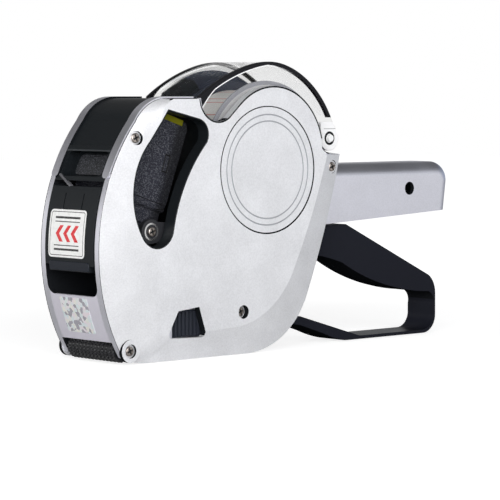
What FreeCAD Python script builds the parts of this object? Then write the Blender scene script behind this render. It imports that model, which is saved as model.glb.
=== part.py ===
import FreeCAD, Part
import math
import os

# Hand-held price labeler, built in millimetres.
# X runs from the nose (-X) to the end of the handle (+X), Z is up, and Y = 0 is the middle plane.
# The tool stands on its base rails at Z = 0.

# Driving dimensions: widths, measured from the middle plane
inner_half = 16.4        # inside of the side walls
wall = 2.6               # moulded side wall
panel_rise = 3.4         # side panel, from the wall to its raised plateau
panel_edge = 0.4         # square edge of the side panel before the bevel starts
shell = 2.0              # front panel, rear rims, rails and handle walls
handle_half = 12.0       # outside of the handle
lever_half = 8.4         # hand lever
arm_room = 1.0           # between a side wall and the print yoke's arm
arm_thick = 2.4          # one arm of the print yoke
roll_room = 5.65         # between a side wall and the label roll: its flange and the yoke's arm
cover_lap = 1.2          # the clear roll cover reaches this far into the notch of a side wall
cover_wall = 1.6         # wall of the clear roll cover

# Clearances
slide_gap = 0.3          # between parts that move past each other
seat_gap = 0.1           # between a part and the walls that it sits in
shaft_gap = 0.05         # radial, shaft in its bore

# Side view: nose, top, rear and base
nose_x = -108.6          # foremost point of the nose
nose_mid_z = 46.5        # and its height
nose_radius = 83.0
nose_foot_z = 3.0        # the nose's arc starts here
nose_shoulder_z = 100.0  # and ends here
top_z = 109.6
top_flat = 36.6          # the flat top starts this far behind nose_x
base_flat = 24.6         # the flat base starts this far behind nose_x
base_rear_x = -27.0
rear_top = (28.6, 84.8)
rear_foot = (9.2, 25.0)
lip_low_z = 77.0         # the housing's lip over the front cover starts here
lip_rise = 0.7
lip_lap = 1.8            # over the edge of the front cover

# Front openings of the nose
panel_low_z = 9.3        # lower edge of the front panel, over the roller
panel_top_z = 28.3       # upper edge of the front panel
flap_low_z = 38.3        # lower edge of the ink cover
flap_top_z = 73.3        # upper edge of the ink cover
ridge_low_z = 75.6       # lower cross ridge of the front cover
ridge_z = 87.8           # upper cross ridge of the front cover
recess_depth = 4.2       # textured recess between the ridges
mouth_corner = 4.0       # rounded lower corners of the print opening

# Label roll and its clear cover
roll_centre = (-9.5, 81.5)
roll_radius = 31.5
core_radius = 12.0
core_bore = 9.6
flange_radius = 33.0
flange_crest = 35.6      # upper part of the flange, over the housing
flange_thick = 1.2
guide_low = (-39.0, 93.0)    # lower end of the roll guide, screwed to the right wall
guide_top = (-34.5, 117.5)
guide_hole = (-38.4, 111.4)
guide_thick = 2.0
snap_spot = (-43.5, 102.1)   # snap boss on a cheek of the roll cover
snap_radius = 1.6
cover_front = (-52.5, 110.3)
cover_top = (-13.5, 125.8)
cover_rear = (24.3, 102.2)
cover_hinge = (23.9, 91.8)
ear_radius = 5.5
hinge_pin_radius = 1.5
lobe_centre = (-41.6, 110.0)
lobe_radius = 11.0
seat_centre = (-12.0, 85.2)
seat_radius = 26.0

# Side panel: its top notch, its badge and its screws
notch_lobe_centre = (-46.0, 110.0)
notch_lobe_radius = 10.2
notch_arc_centre = (-14.0, 85.2)
notch_arc_radius = 29.6
notch_ear_centre = (20.1, 92.0)
notch_ear_radius = 6.3
badge_centre = (-17.7, 78.8)
badge_radius = 27.2
badge_thick = 1.6
badge_groove = 0.3
nose_screw_z = 93.3
nose_screw_inset = 4.45  # from the nose's arc
foot_screw = (-31.8, 18.3)
rear_screw = (23.0, 79.3)
liner_thick = 0.6        # black lining of the head window
screw_head_radius = 2.6
screw_head_high = 0.9
screw_shank_radius = 1.45
screw_reach = 2.5
screw_floor = 0.6        # panel left under a screw head

# Handle
handle_end_x = 109.0
handle_top_z = 80.0
handle_low_end = (107.2, 57.5)
handle_low_root = (28.0, 53.0)
handle_corner = 9.0
handle_round = 6.0
strap_hole = (81.0, 68.0)
strap_radius = 2.9

# Hand lever and print yoke, on one shaft
pivot = (13.0, 47.0)
shaft_radius = 2.5
hub_radius = 5.0
arm_boss_radius = 4.4    # print yoke on the pivot shaft
lever_swing = 18.0       # degrees, squeezed
lever_end_x = 102.5
limb_thick = 1.5         # lower limb of the loop
end_thick = 1.1          # rear end of the loop
end_round = 8.2          # its lower corner
link_half = 6.0          # inner limb of the lever, inside the body

# Print head, drawn upright from its pivot screw and leaned back at rest
head_pivot_z = 54.1
head_pivot_back = 31.2   # behind nose_x
head_front = -21.5
head_back = 5.8
head_top = 49.0
head_low = 3.0
head_waist = 9.2         # above this the head is as wide as its side plates
plate_thick = 1.4        # side plate of the head
type_front = -14.5
type_width = 12.0
type_face = -9.0
band_thick = 1.0
band_gap = 0.2           # between two printing belts
band_count = 8
wheel_v = 32.0
selector_radius = 1.95
knob_radius = 5.0
marker_high = 2.2

# Ink cover, its roller and its hinge
flap_hinge_z = 71.0
flap_hinge_inset = 3.4   # from the nose's arc
flap_thick = 2.2
flap_gap = 0.5           # between the ink cover and a side wall
flap_proud = 0.4
flap_pin_radius = 1.75
ink_z = 43.6
ink_inset = 12.55        # from the nose's arc
ink_radius = 5.5
ink_lap = 0.75           # the inked width passes the labels' width on each side
ink_shaft_radius = 1.2

# Applicator roller
axle_z = 5.6
axle_inset = 4.62        # from the nose's arc
axle_radius = 2.0
applicator_radius = 5.2
applicator_gap = 1.3     # between its end and a side wall
rib_count = 13
rib_wide = 1.4
rib_deep = 0.8
axle_boss_radius = 4.8

# Print bed and feed
bed_top_z = 16.4
bed_low_z = 12.0
bed_inset = 5.95         # from the nose's arc
bed_length = 19.0
feed_axle = (-62.0, 14.5)
feed_radius = 8.0
feed_half = 7.0
feed_shaft_radius = 1.5
feed_teeth = 12
strip_thick = 0.3
drive_pin = (-3.0, 20.0)
drive_pin_radius = 1.4

# Return spring, under the cross bar of the print yoke
spring_x = -18.0
spring_radius = 3.6
spring_wire = 0.9
spring_pitch = 3.0
shelf_z = 22.0
bar_z = 43.0

# Base
rail_wide = 4.4          # one base rail
door_thick = 2.0
door_hinge = (-31.0, 1.9)
door_pin_radius = 1.0
latch_travel = 3.2
latch_low_z = 9.3
latch_top_z = 20.5
latch_front_x = -69.0
latch_rear_x = -50.2

# Widths that follow
frame_half = inner_half + wall
body_half = frame_half + panel_rise
arm_outer = inner_half - arm_room
arm_inner = arm_outer - arm_thick
head_half = arm_outer - plate_thick
head_waist_half = arm_inner - 0.2
roll_half = inner_half - roll_room
ink_half = roll_half + ink_lap
flap_half = inner_half - flap_gap
cover_half = inner_half + cover_lap
rail_inner = inner_half - rail_wide
band_pitch = (2 * roll_half - 0.7) / band_count
band_wide = band_pitch - band_gap
rib_pitch = 2 * (inner_half - applicator_gap - 0.5 * rib_wide) / (rib_count - 1)

PARTS = {}


def at(point, y=0.0):
    """Place a side-view point (x, z) at width y."""
    return FreeCAD.Vector(point[0], y, point[1])


def polar(centre, radius, degrees):
    """Side-view point on a circle."""
    angle = math.radians(degrees)
    return (centre[0] + radius * math.cos(angle), centre[1] + radius * math.sin(angle))


def on_nose(z, radius=nose_radius, inset=0.0):
    """Point at height z on the nose's arc, or on one parallel to it, and an inset behind it."""
    depth = math.sqrt(radius ** 2 - (z - nose_mid_z) ** 2)
    return (nose_x + nose_radius - depth + inset, z)


def behind(distance, z):
    """Side-view point that is a distance behind the foremost point of the nose."""
    return (nose_x + distance, z)


# Places that follow the nose
top_front_x = nose_x + top_flat
base_front_x = nose_x + base_flat
head_pivot = behind(head_pivot_back, head_pivot_z)
flap_hinge = on_nose(flap_hinge_z, inset=flap_hinge_inset)
ink_centre = on_nose(ink_z, inset=ink_inset)
axle = on_nose(axle_z, inset=axle_inset)
bed_front_x = on_nose(bed_top_z, inset=bed_inset)[0]
bed_rear_x = bed_front_x + bed_length
panel_screws = [on_nose(nose_screw_z, inset=nose_screw_inset), foot_screw, rear_screw]


def base_bend(x, end):
    """Middle of the arc that leaves the flat base at x and ends at a point."""
    run, rise = end[0] - x, end[1]
    radius = (run ** 2 + rise ** 2) / (2 * rise)
    turn = math.degrees(math.atan2(rise - radius, run))
    return polar((x, radius), radius, 0.5 * (turn - 90))


def outline(start, steps, y=0.0):
    """Closed side-view wire: a step of one point is a line, of two points an arc."""
    edges = []
    here = start
    for step in steps:
        if len(step) == 1:
            edges.append(Part.LineSegment(at(here, y), at(step[0], y)).toShape())
        else:
            edges.append(Part.Arc(at(here, y), at(step[0], y), at(step[1], y)).toShape())
        here = step[-1]
    return Part.Wire(edges)


def polygon(points, y=0.0):
    """Closed side-view wire of straight lines."""
    return Part.makePolygon([at(p, y) for p in points] + [at(points[0], y)])


def slab(wire, low, high):
    """Side-view wire made solid between two widths."""
    solid = Part.Face(wire).extrude(FreeCAD.Vector(0, high - low, 0))
    solid.translate(FreeCAD.Vector(0, low - wire.BoundBox.YMin, 0))
    return solid


def drum(centre, radius, low, high):
    """Cylinder across the width."""
    return Part.makeCylinder(radius, high - low, at(centre, low), FreeCAD.Vector(0, 1, 0))


def block(x_low, x_high, y_low, y_high, z_low, z_high):
    """Box between corners."""
    size = (x_high - x_low, y_high - y_low, z_high - z_low)
    return Part.makeBox(size[0], size[1], size[2], FreeCAD.Vector(x_low, y_low, z_low))


def other_side(shape):
    """Copy mirrored across the middle plane."""
    return shape.mirror(FreeCAD.Vector(0, 0, 0), FreeCAD.Vector(0, 1, 0))


def both(shape):
    """A shape on the right and its mirror on the left."""
    return [shape, other_side(shape)]


def band(z_low, z_high, inner, outer, y_low, y_high):
    """Strip that follows the nose between two heights and two radii."""
    middle = 0.5 * (z_low + z_high)
    wire = outline(on_nose(z_low, outer), [
        (on_nose(middle, outer), on_nose(z_high, outer)),
        (on_nose(z_high, inner),),
        (on_nose(middle, inner), on_nose(z_low, inner)),
        (on_nose(z_low, outer),)])
    return slab(wire, y_low, y_high)


def grown(wire, distance):
    """Wire offset outwards by a distance."""
    return wire.makeOffset2D(distance)


def keep(name, *shapes):
    """Remember the solids of one named piece."""
    solids = []
    for shape in shapes:
        solids.extend(shape.removeSplitter().Solids)
    PARTS[name] = solids


def body_steps():
    """Side wall outline from the foot of the nose, over the roll seat, to the base."""
    lobe = lobe_radius + 0.4
    seat = seat_radius - 0.4
    shoulder = on_nose(nose_shoulder_z)
    return on_nose(nose_foot_z), [
        (on_nose(nose_mid_z), shoulder),
        ((0.5 * (shoulder[0] + top_front_x) - 1.6, top_z - 2.7), (top_front_x, top_z)),
        ((lobe_centre[0] - lobe, top_z),),
        (polar(lobe_centre, lobe, 225), polar(lobe_centre, lobe, 311)),
        (polar(seat_centre, seat, 131),),
        (polar(seat_centre, seat, 70), (seat_centre[0] + seat - 0.1, rear_top[1])),
        (rear_top,),
        ((20.2, 54.5), rear_foot),
        (base_bend(base_rear_x, rear_foot), (base_rear_x, 0.0)),
        ((base_front_x, 0.0),),
        (base_bend(base_front_x, on_nose(nose_foot_z)), on_nose(nose_foot_z))]


def panel_steps():
    """Side panel outline at its foot, with the notch for the roll cover."""
    start, steps = body_steps()
    lobe_end = polar(notch_lobe_centre, notch_lobe_radius, 311)
    arc_end = polar(notch_arc_centre, notch_arc_radius, 13)
    ear_low = (notch_ear_centre[0], notch_ear_centre[1] - notch_ear_radius)
    steps[2:7] = [
        ((notch_lobe_centre[0] - notch_lobe_radius, top_z),),
        (polar(notch_lobe_centre, notch_lobe_radius, 225), lobe_end),
        (polar(notch_arc_centre, notch_arc_radius, 131),),
        (polar(notch_arc_centre, notch_arc_radius, 80), arc_end),
        (polar(notch_ear_centre, notch_ear_radius, 222), ear_low),
        (rear_top,)]
    return start, steps


def plateau_steps():
    """Raised face of the side panel, step for step beside panel_steps."""
    start, steps = panel_steps()
    steps[0] = (behind(26.1, 50.0), behind(31.1, 101.0))
    steps[1] = (behind(33.1, 106.0), (top_front_x + 1.0, top_z - 0.3))
    steps[2] = ((notch_lobe_centre[0] - notch_lobe_radius - 0.1, top_z - 0.3),)
    steps[6] = ((14.7, 88.7), (16.8, 86.3))
    steps[7] = ((17.8, 84.4),)
    steps[8] = ((7.5, 56.0), (-3.4, 33.0))
    steps[9] = ((-13.2, 21.3), (-38.0, 11.9))
    steps[10] = (behind(38.6, 10.9),)
    steps[11] = (behind(32.6, 11.0), behind(28.6, 12.5))
    return behind(28.6, 12.5), steps


def part_way(outer, inner, share, nose_share):
    """Outline between two others; the nose edge may lie nearer one of them."""
    def mix(a, b, t):
        return (a[0] + (b[0] - a[0]) * t, a[1] + (b[1] - a[1]) * t)
    steps = []
    for number, (a, b) in enumerate(zip(outer[1], inner[1])):
        t = nose_share if number in (0, 11) else share
        steps.append(tuple(mix(p, q, t) for p, q in zip(a, b)))
    return mix(outer[0], inner[0], nose_share), steps


def window_outline():
    """Head window, drawn from the head's pivot screw: it follows the way the knob swings."""
    def spot(across, up):
        return (head_pivot[0] + across, head_pivot[1] + up)

    return outline(spot(-10.2, -1.6), [
        (spot(-14.5, 16.4), spot(-5.7, 37.9)),
        (spot(3.5, 50.6),),
        (spot(20.4, 46.7),),
        (spot(25.0, 42.9), spot(24.7, 37.1)),
        (spot(12.6, 19.9), spot(6.1, -0.1)),
        (spot(-1.2, -6.5), spot(-10.2, -1.6))])


def latch_outline():
    """Window over the cover latch."""
    left = latch_front_x - 4.9
    right = latch_rear_x - 3.4
    low = latch_low_z - 0.3
    return outline((left, low + 2.5), [
        ((left + 5.3, latch_top_z + 0.3),),
        ((right - 3.5, latch_top_z + 1.5),),
        ((right, low + 2.5),),
        ((right - 0.4, low + 0.6), (right - 1.9, low)),
        ((left + 2.4, low + 0.5),),
        ((left + 0.5, low + 1.2), (left, low + 2.5))])


def handle_outline(inset=0.0):
    """Handle in side view; inset draws the hollow under its top and behind its end."""
    top = handle_top_z - inset
    end = handle_end_x - inset
    corner = handle_corner - inset
    low = (handle_low_end[0] - inset, handle_low_end[1])
    root_low = (20.6, handle_low_root[1])
    root_top = (rear_top[0] - 2.6, top)
    centre = (end - corner, top - corner)
    if inset:
        low = (low[0] - 0.5, handle_low_end[1] - 2 * shell)
        root_low = (root_low[0] - 2 * shell, root_low[1] - 2 * shell)
        root_top = (root_top[0] - 2 * shell, top)
    return outline(root_low, [
        (root_top,),
        ((centre[0], top),),
        (polar(centre, corner, 45), (end, centre[1])),
        (low,),
        (root_low,)])


def housing_half():
    """Right half of the moulded housing."""
    start, steps = body_steps()
    wire = outline(start, steps)
    body = slab(wire, inner_half, frame_half)
    front = band(panel_low_z, panel_top_z + mouth_corner, nose_radius - shell, nose_radius,
                 0.0, inner_half)
    mouth = block(nose_x - 10, nose_x + 20, -inner_half, inner_half, panel_top_z, 60)
    lower = [e for e in mouth.Edges if along_x(e) and low_in_z(e, panel_top_z)]
    mouth = mouth.makeFillet(mouth_corner, lower)
    body = body.fuse(front.cut(mouth))

    ring = slab(wire, 0.0, inner_half).cut(slab(inner_outline(shell), -1.0, inner_half + 1.0))
    rims = ring.common(block(base_rear_x, 40, lever_half + 1.0, inner_half, 0, handle_top_z + shell))
    rims = rims.cut(drum(pivot, arm_boss_radius + 0.6, 0, inner_half))
    rear_wall = ring.common(block(roll_centre[0] + flange_crest + 0.7, 40, 0.0, inner_half,
                                  handle_top_z - shell, rear_top[1]))
    rail = block(base_front_x, base_rear_x, rail_inner, inner_half, 0.0, shell)
    shelf = block(spring_x - 6.0, spring_x + 6.0, 0.0, inner_half, shelf_z - shell, shelf_z)
    handle = handle_block(0.0).cut(handle_block(shell))
    body = body.fuse([rims, rear_wall, rail, shelf, handle, nose_lip(wire)])

    shaft_boss = drum(pivot, hub_radius + 0.5, inner_half - 0.8, inner_half)
    feed_post = slab(polygon([(-67.0, shell), (-57.0, shell), (-59.0, 18.0), (-65.0, 18.0)]),
                     rail_inner + 0.4, inner_half)
    door_ear = drum((door_hinge[0], door_hinge[1] + 1.0), 2.6, rail_inner - 1.6, rail_inner + 0.4)
    door_ear = door_ear.common(block(-40, -20, 0, 20, 0.0, 10))
    body = body.fuse([shaft_boss, feed_post, door_ear])

    cuts = [
        slab(grown(window_outline(), 0.5 * liner_thick), inner_half - 1, frame_half + 1),
        block(latch_front_x - 0.4, latch_rear_x + latch_travel + 0.4, inner_half - 1, frame_half + 1,
              latch_low_z - slide_gap, latch_top_z + slide_gap),
        drum(pivot, shaft_radius + 0.01, 0, frame_half - 0.3),
        drum(flap_hinge, flap_pin_radius + shaft_gap, 0, frame_half - 0.4),
        drum(axle, axle_radius + 0.02, 0, frame_half + 1),
        drum(feed_axle, feed_shaft_radius + shaft_gap, 0, inner_half - 0.4),
        drum(strap_hole, strap_radius, 0, handle_half + 1),
        drum(door_hinge, door_pin_radius + shaft_gap, 0, rail_inner + 0.3),
        drum(cover_hinge, ear_radius + 0.4, inner_half - 1, frame_half + 1)]
    for spot in panel_screws:
        cuts.append(drum(spot, screw_shank_radius + shaft_gap, inner_half + 0.5, frame_half + 1))
    return body.cut(cuts)


def nose_lip(wire):
    """Lip that laps over the edge of the front cover, up the nose and along the flat top."""
    lip = slab(grown(wire, lip_rise), inner_half - lip_lap, frame_half)
    lip = lip.cut(slab(wire, 0.0, frame_half + 1))
    rear_x = notch_lobe_centre[0] - notch_lobe_radius - 1.0
    reach = block(nose_x - 5, rear_x, inner_half - lip_lap, frame_half, lip_low_z, top_z + 5)
    reach = reach.makeFillet(lip_lap, [e for e in reach.Edges if along_x(e) and low_in_z(e, lip_low_z)])
    return lip.common(reach)


def inner_outline(inset):
    """Side wall outline moved inwards."""
    start, steps = body_steps()
    return outline(start, steps).makeOffset2D(-inset)


def along_x(edge):
    box = edge.BoundBox
    return box.XLength > 1 and box.YLength < 0.01 and box.ZLength < 0.01


def low_in_z(edge, z):
    return abs(edge.BoundBox.ZMin - z) < 0.01


def handle_block(inset):
    """Half of the handle with rounded shoulders, or of the hollow in it."""
    half = handle_half - inset
    solid = slab(handle_outline(inset), 0.0, half)

    def shoulder(edge):
        box = edge.BoundBox
        outer = abs(box.YMin - half) < 0.01 and abs(box.YMax - half) < 0.01
        return outer and box.ZMax > handle_low_end[1] + 1 and box.XMin > rear_top[0] - 8

    return solid.makeFillet(handle_round - inset, [e for e in solid.Edges if shoulder(e)])


def side_panel():
    """Right side panel: a plate whose bevel rises to the plateau."""
    outer = panel_steps()
    inner = plateau_steps()
    rise = panel_rise - panel_edge
    levels = [
        (outer, frame_half),
        (outer, frame_half + panel_edge),
        (part_way(outer, inner, 0.6, 0.45), frame_half + panel_edge + 0.6 * rise),
        (inner, body_half)]
    wires = [outline(start, steps, y) for (start, steps), y in levels]
    plate = Part.makeLoft(wires, True, True)
    boss = drum(axle, axle_boss_radius, frame_half, frame_half + screw_floor + screw_head_high + 0.4)
    plate = plate.fuse(boss)
    cuts = [
        slab(grown(window_outline(), 0.5 * liner_thick), frame_half - 1, body_half + 1),
        slab(latch_outline(), frame_half - 1, body_half + 1),
        drum(badge_centre, badge_radius + slide_gap, body_half - badge_thick, body_half + 1)]
    for spot in panel_screws + [axle]:
        cuts.append(drum(spot, screw_head_radius + slide_gap, frame_half + screw_floor, body_half + 1))
        cuts.append(drum(spot, axle_radius + 0.02 if spot == axle else screw_shank_radius + shaft_gap,
                         frame_half - 1, body_half))
    return plate.cut(cuts)


def badge():
    """Bare round insert with two plain rings."""
    disc = drum(badge_centre, badge_radius, body_half - badge_thick, body_half)
    top = body_half - badge_groove
    for radius in (24.0, 21.2):
        groove = drum(badge_centre, radius, top, body_half + 1)
        groove = groove.cut(drum(badge_centre, radius - 0.5, top - 1, body_half + 2))
        disc = disc.cut(groove)
    return disc


def window_liner():
    """Black lining of the head window, through the wall and the panel."""
    outer = slab(grown(window_outline(), 0.5 * liner_thick - 0.02), inner_half, body_half + 0.2)
    lining = outer.cut(slab(grown(window_outline(), -0.5 * liner_thick), 0, body_half + 5))
    trim = Part.makeLoft([outline(*panel_steps(), frame_half),
                          outline(*panel_steps(), frame_half + panel_edge),
                          outline(*part_way(panel_steps(), plateau_steps(), 0.6, 0.45),
                                  frame_half + panel_edge + 0.6 * (panel_rise - panel_edge)),
                          outline(*plateau_steps(), body_half)], True, True)
    inside = slab(outline(*panel_steps()), inner_half - 1, frame_half + 0.1)
    return lining.common(trim.fuse(inside))


def screw(spot, side, floor):
    """Pan head screw with a cross recess, its head seated on a floor."""
    head = drum(spot, screw_head_radius, floor, floor + screw_head_high)
    for turn in (0, 90):
        slot = block(-1.5, 1.5, floor + 0.35, floor + 2, -0.3, 0.3)
        slot.rotate(FreeCAD.Vector(0, 0, 0), FreeCAD.Vector(0, 1, 0), turn + 20)
        slot.translate(at(spot))
        head = head.cut(slot)
    shank = drum(spot, screw_shank_radius, floor - screw_reach, floor)
    solid = head.fuse(shank)
    return solid if side > 0 else other_side(solid)


def front_cover():
    """Black top and front cover, with two cross ridges and a recess between them."""
    half = inner_half - seat_gap
    inner = nose_radius - shell
    shoulder_out = on_nose(nose_shoulder_z)
    shoulder_in = on_nose(nose_shoulder_z, inner)
    mid = 0.5 * (shoulder_out[0] + top_front_x)
    rear_x = cover_front[0] - 0.5
    top = outline(on_nose(ridge_z), [
        (on_nose(0.5 * (ridge_z + nose_shoulder_z)), shoulder_out),
        ((mid - 1.6, top_z - 2.7), (top_front_x, top_z)),
        ((rear_x, top_z),),
        ((rear_x, top_z - shell),),
        ((top_front_x + 0.6, top_z - shell),),
        ((mid - 0.5, top_z - shell - 2.6), shoulder_in),
        (on_nose(0.5 * (ridge_z + nose_shoulder_z), inner), on_nose(ridge_z, inner)),
        (on_nose(ridge_z),)])
    cover = slab(top, -half, half)
    ridge = band(ridge_z, ridge_z + 2.2, inner, nose_radius + 0.9, -half + 2.0, half - 2.0)
    floor_outer = nose_radius - recess_depth
    frame = band(ridge_low_z, ridge_z + 1.0, floor_outer - 1.2, nose_radius, -half, half)
    pocket = block(nose_x - 10, nose_x + 30, -half + 3.0, half - 3.0, ridge_low_z + 1.8, ridge_z)
    pocket = pocket.makeFillet(2.5, [e for e in pocket.Edges if along_x(e)])
    pocket = pocket.common(band(ridge_low_z, ridge_z + 1.0, floor_outer, nose_radius + 5, -half, half))
    return cover.fuse([ridge, frame]).cut(pocket)


def cover_outline():
    """Clear roll cover in side view."""
    lobe = lobe_radius
    return outline(cover_front, [
        ((-36.0, 119.6), cover_top),
        ((10.5, 117.6), cover_rear),
        (polar(cover_hinge, ear_radius, 20),),
        (polar(cover_hinge, ear_radius, 300), polar(cover_hinge, ear_radius, 215)),
        (polar(seat_centre, seat_radius, 8),),
        (polar(seat_centre, seat_radius, 70), polar(seat_centre, seat_radius, 131)),
        (polar(lobe_centre, lobe, 311),),
        (polar(lobe_centre, lobe, 250), (lobe_centre[0] - lobe, lobe_centre[1])),
        (cover_front,)])


def roll_cover():
    """Clear cover: two cheeks and the curved top between them."""
    whole = slab(cover_outline(), -cover_half, cover_half)
    skin = outline((cover_front[0], cover_front[1] - 6.0), [
        (cover_front,),
        ((-36.0, 119.6), cover_top),
        ((10.5, 117.6), cover_rear),
        ((cover_rear[0] + 20, cover_rear[1]),),
        ((cover_rear[0] + 20, cover_rear[1] + 40),),
        ((cover_front[0] - 20, cover_rear[1] + 40),),
        ((cover_front[0] - 20, cover_front[1] - 6.0),),
        ((cover_front[0], cover_front[1] - 6.0),)])
    inner = cover_half - cover_wall
    hollow = slab(cover_outline(), -inner, inner)
    lowered = hollow.copy()
    lowered.translate(FreeCAD.Vector(0.9, 0, -cover_wall))
    below = block(-70, 60, -inner, inner, 60, cover_rear[1] - 1.0)
    hollow = hollow.common(lowered.fuse(below))
    cover = whole.cut(hollow)
    snap = drum(snap_spot, snap_radius, cover_half - cover_wall, cover_half + 0.5)
    cover = cover.fuse(both(snap))
    pins = drum(cover_hinge, hinge_pin_radius + shaft_gap, -cover_half - 1, cover_half + 1)
    return cover.cut(pins)


def roll_guide():
    """Arched guide beside the roll, under the front of the clear cover, on the right wall."""
    low_half = 4.2
    high = arm_outer - 0.2
    plate = slab(outline((guide_low[0] - low_half, guide_low[1]), [
        ((guide_hole[0] - 8.0, guide_hole[1] - 2.0),),
        ((guide_hole[0] - 4.4, guide_top[1] - 2.2), guide_top),
        ((guide_hole[0] + 11.0, guide_top[1] - 1.6), (guide_hole[0] + 13.6, guide_hole[1])),
        ((guide_hole[0] + 6.0, guide_hole[1] - 6.0), (guide_low[0] + low_half, guide_low[1])),
        ((guide_low[0], guide_low[1] - low_half), (guide_low[0] - low_half, guide_low[1]))]),
        high - guide_thick, high)
    ceiling = slab(cover_outline(), 0.0, inner_half)
    ceiling.translate(FreeCAD.Vector(1.2, 0, -cover_wall - 0.8))
    below = block(-70, 0, 0.0, inner_half, 60, seat_centre[1] + seat_radius - 5.0)
    plate = plate.common(ceiling.fuse(below))
    boss = drum(guide_low, low_half - 0.6, high, inner_half)
    hole = drum(guide_hole, 1.6, 0, frame_half)
    return plate.fuse(boss).cut(hole)


def lever():
    """Hand lever: a thin-walled loop with a hub and an inner limb inside the body."""
    heel = (lever_end_x - end_round, end_round)
    end = lever_end_x - end_thick
    hollow = end_round - end_thick
    ring = outline((28.8, 50.5), [
        ((29.7, 52.0), (32.0, 52.6)),
        ((43.4, 52.7),),
        ((98.0, 27.0),),
        ((lever_end_x - 1.3, 23.4), (lever_end_x, 18.4)),
        ((lever_end_x, end_round),),
        (polar(heel, end_round, 315), (heel[0], 0.0)),
        ((43.0, 0.0),),
        ((36.0, 1.7), (29.0, 4.2)),
        ((14.8, 8.8),),
        ((5.0, 10.8), (-4.0, 14.2)),
        ((-6.0, 24.0), (-2.0, 34.0)),
        ((8.6, 49.4),),
        ((28.8, 50.5),)])
    body = slab(ring, -lever_half, lever_half)
    finger = outline((14.8, 12.7), [
        ((52.5, limb_thick),),
        ((heel[0], limb_thick),),
        (polar((heel[0], limb_thick + hollow), hollow, 315), (end, limb_thick + hollow)),
        ((end, 12.6),),
        ((end - 0.7, 17.2), (end - 3.4, 19.3)),
        ((87.5, 20.2), (76.0, 22.3)),
        ((57.5, 27.7), (41.2, 35.4)),
        ((29.0, 38.7), (15.0, 41.0)),
        ((4.0, 33.0), (0.6, 22.0)),
        ((4.5, 15.4), (14.8, 12.7))])
    body = body.cut(slab(finger, -lever_half - 1, lever_half + 1))
    waist = block(-12, 4.0, link_half, lever_half + 1, 8, 42)
    body = body.cut([waist, other_side(waist)])
    body = body.fuse(drum(pivot, hub_radius, -lever_half, lever_half))
    bores = [drum(pivot, shaft_radius + shaft_gap, -20, 20), drum(drive_pin, drive_pin_radius, -20, 20)]
    return body.cut(bores)


def yoke():
    """Print yoke: two steel arms joined by a cross bar under the roll."""
    reach = 4.3
    arm = slab(outline((head_pivot[0], head_pivot[1] - reach), [
        (polar(head_pivot, reach, 180), (head_pivot[0] + 1.0, head_pivot[1] + reach)),
        ((-30.0, pivot[1] + 7.0),),
        (polar(pivot, arm_boss_radius, 95),),
        (polar(pivot, arm_boss_radius, 0), polar(pivot, arm_boss_radius, 265)),
        ((-30.0, pivot[1] - 4.6),),
        ((head_pivot[0], head_pivot[1] - reach),)]), arm_inner, arm_outer)
    boss = drum(head_pivot, 5.2, arm_inner, arm_outer)
    bar = block(spring_x - 2.5, spring_x + 3.0, 0.0, arm_inner, bar_z, bar_z + 3.0)
    half = arm.fuse([boss, bar])
    whole = half.fuse(other_side(half))
    return whole.cut([drum(pivot, shaft_radius + shaft_gap, -20, 20),
                      drum(head_pivot, screw_shank_radius + shaft_gap, -20, 20)])


def lean(shape):
    """Put a part of the head, drawn upright from its pivot, into its resting lean."""
    turned = shape.copy()
    turned.rotate(FreeCAD.Vector(0, 0, 0), FreeCAD.Vector(0, 1, 0), lever_swing)
    turned.translate(at(head_pivot))
    return turned


def stadium(inset, low=type_face):
    """Path of a printing belt: flat under the type, round over its wheel."""
    left = type_front + inset
    right = type_front + type_width - inset
    centre = 0.5 * (left + right)
    bottom = low + inset
    radius = right - centre
    corner = max(1.6 - inset, 0.4)
    return outline((left, bottom + corner), [
        ((left, wheel_v),),
        ((centre, wheel_v + radius), (right, wheel_v)),
        ((right, bottom + corner),),
        ((right - 0.3 * corner, bottom + 0.3 * corner), (right - corner, bottom)),
        ((left + corner, bottom),),
        ((left + 0.3 * corner, bottom + 0.3 * corner), (left, bottom + corner))])


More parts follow.
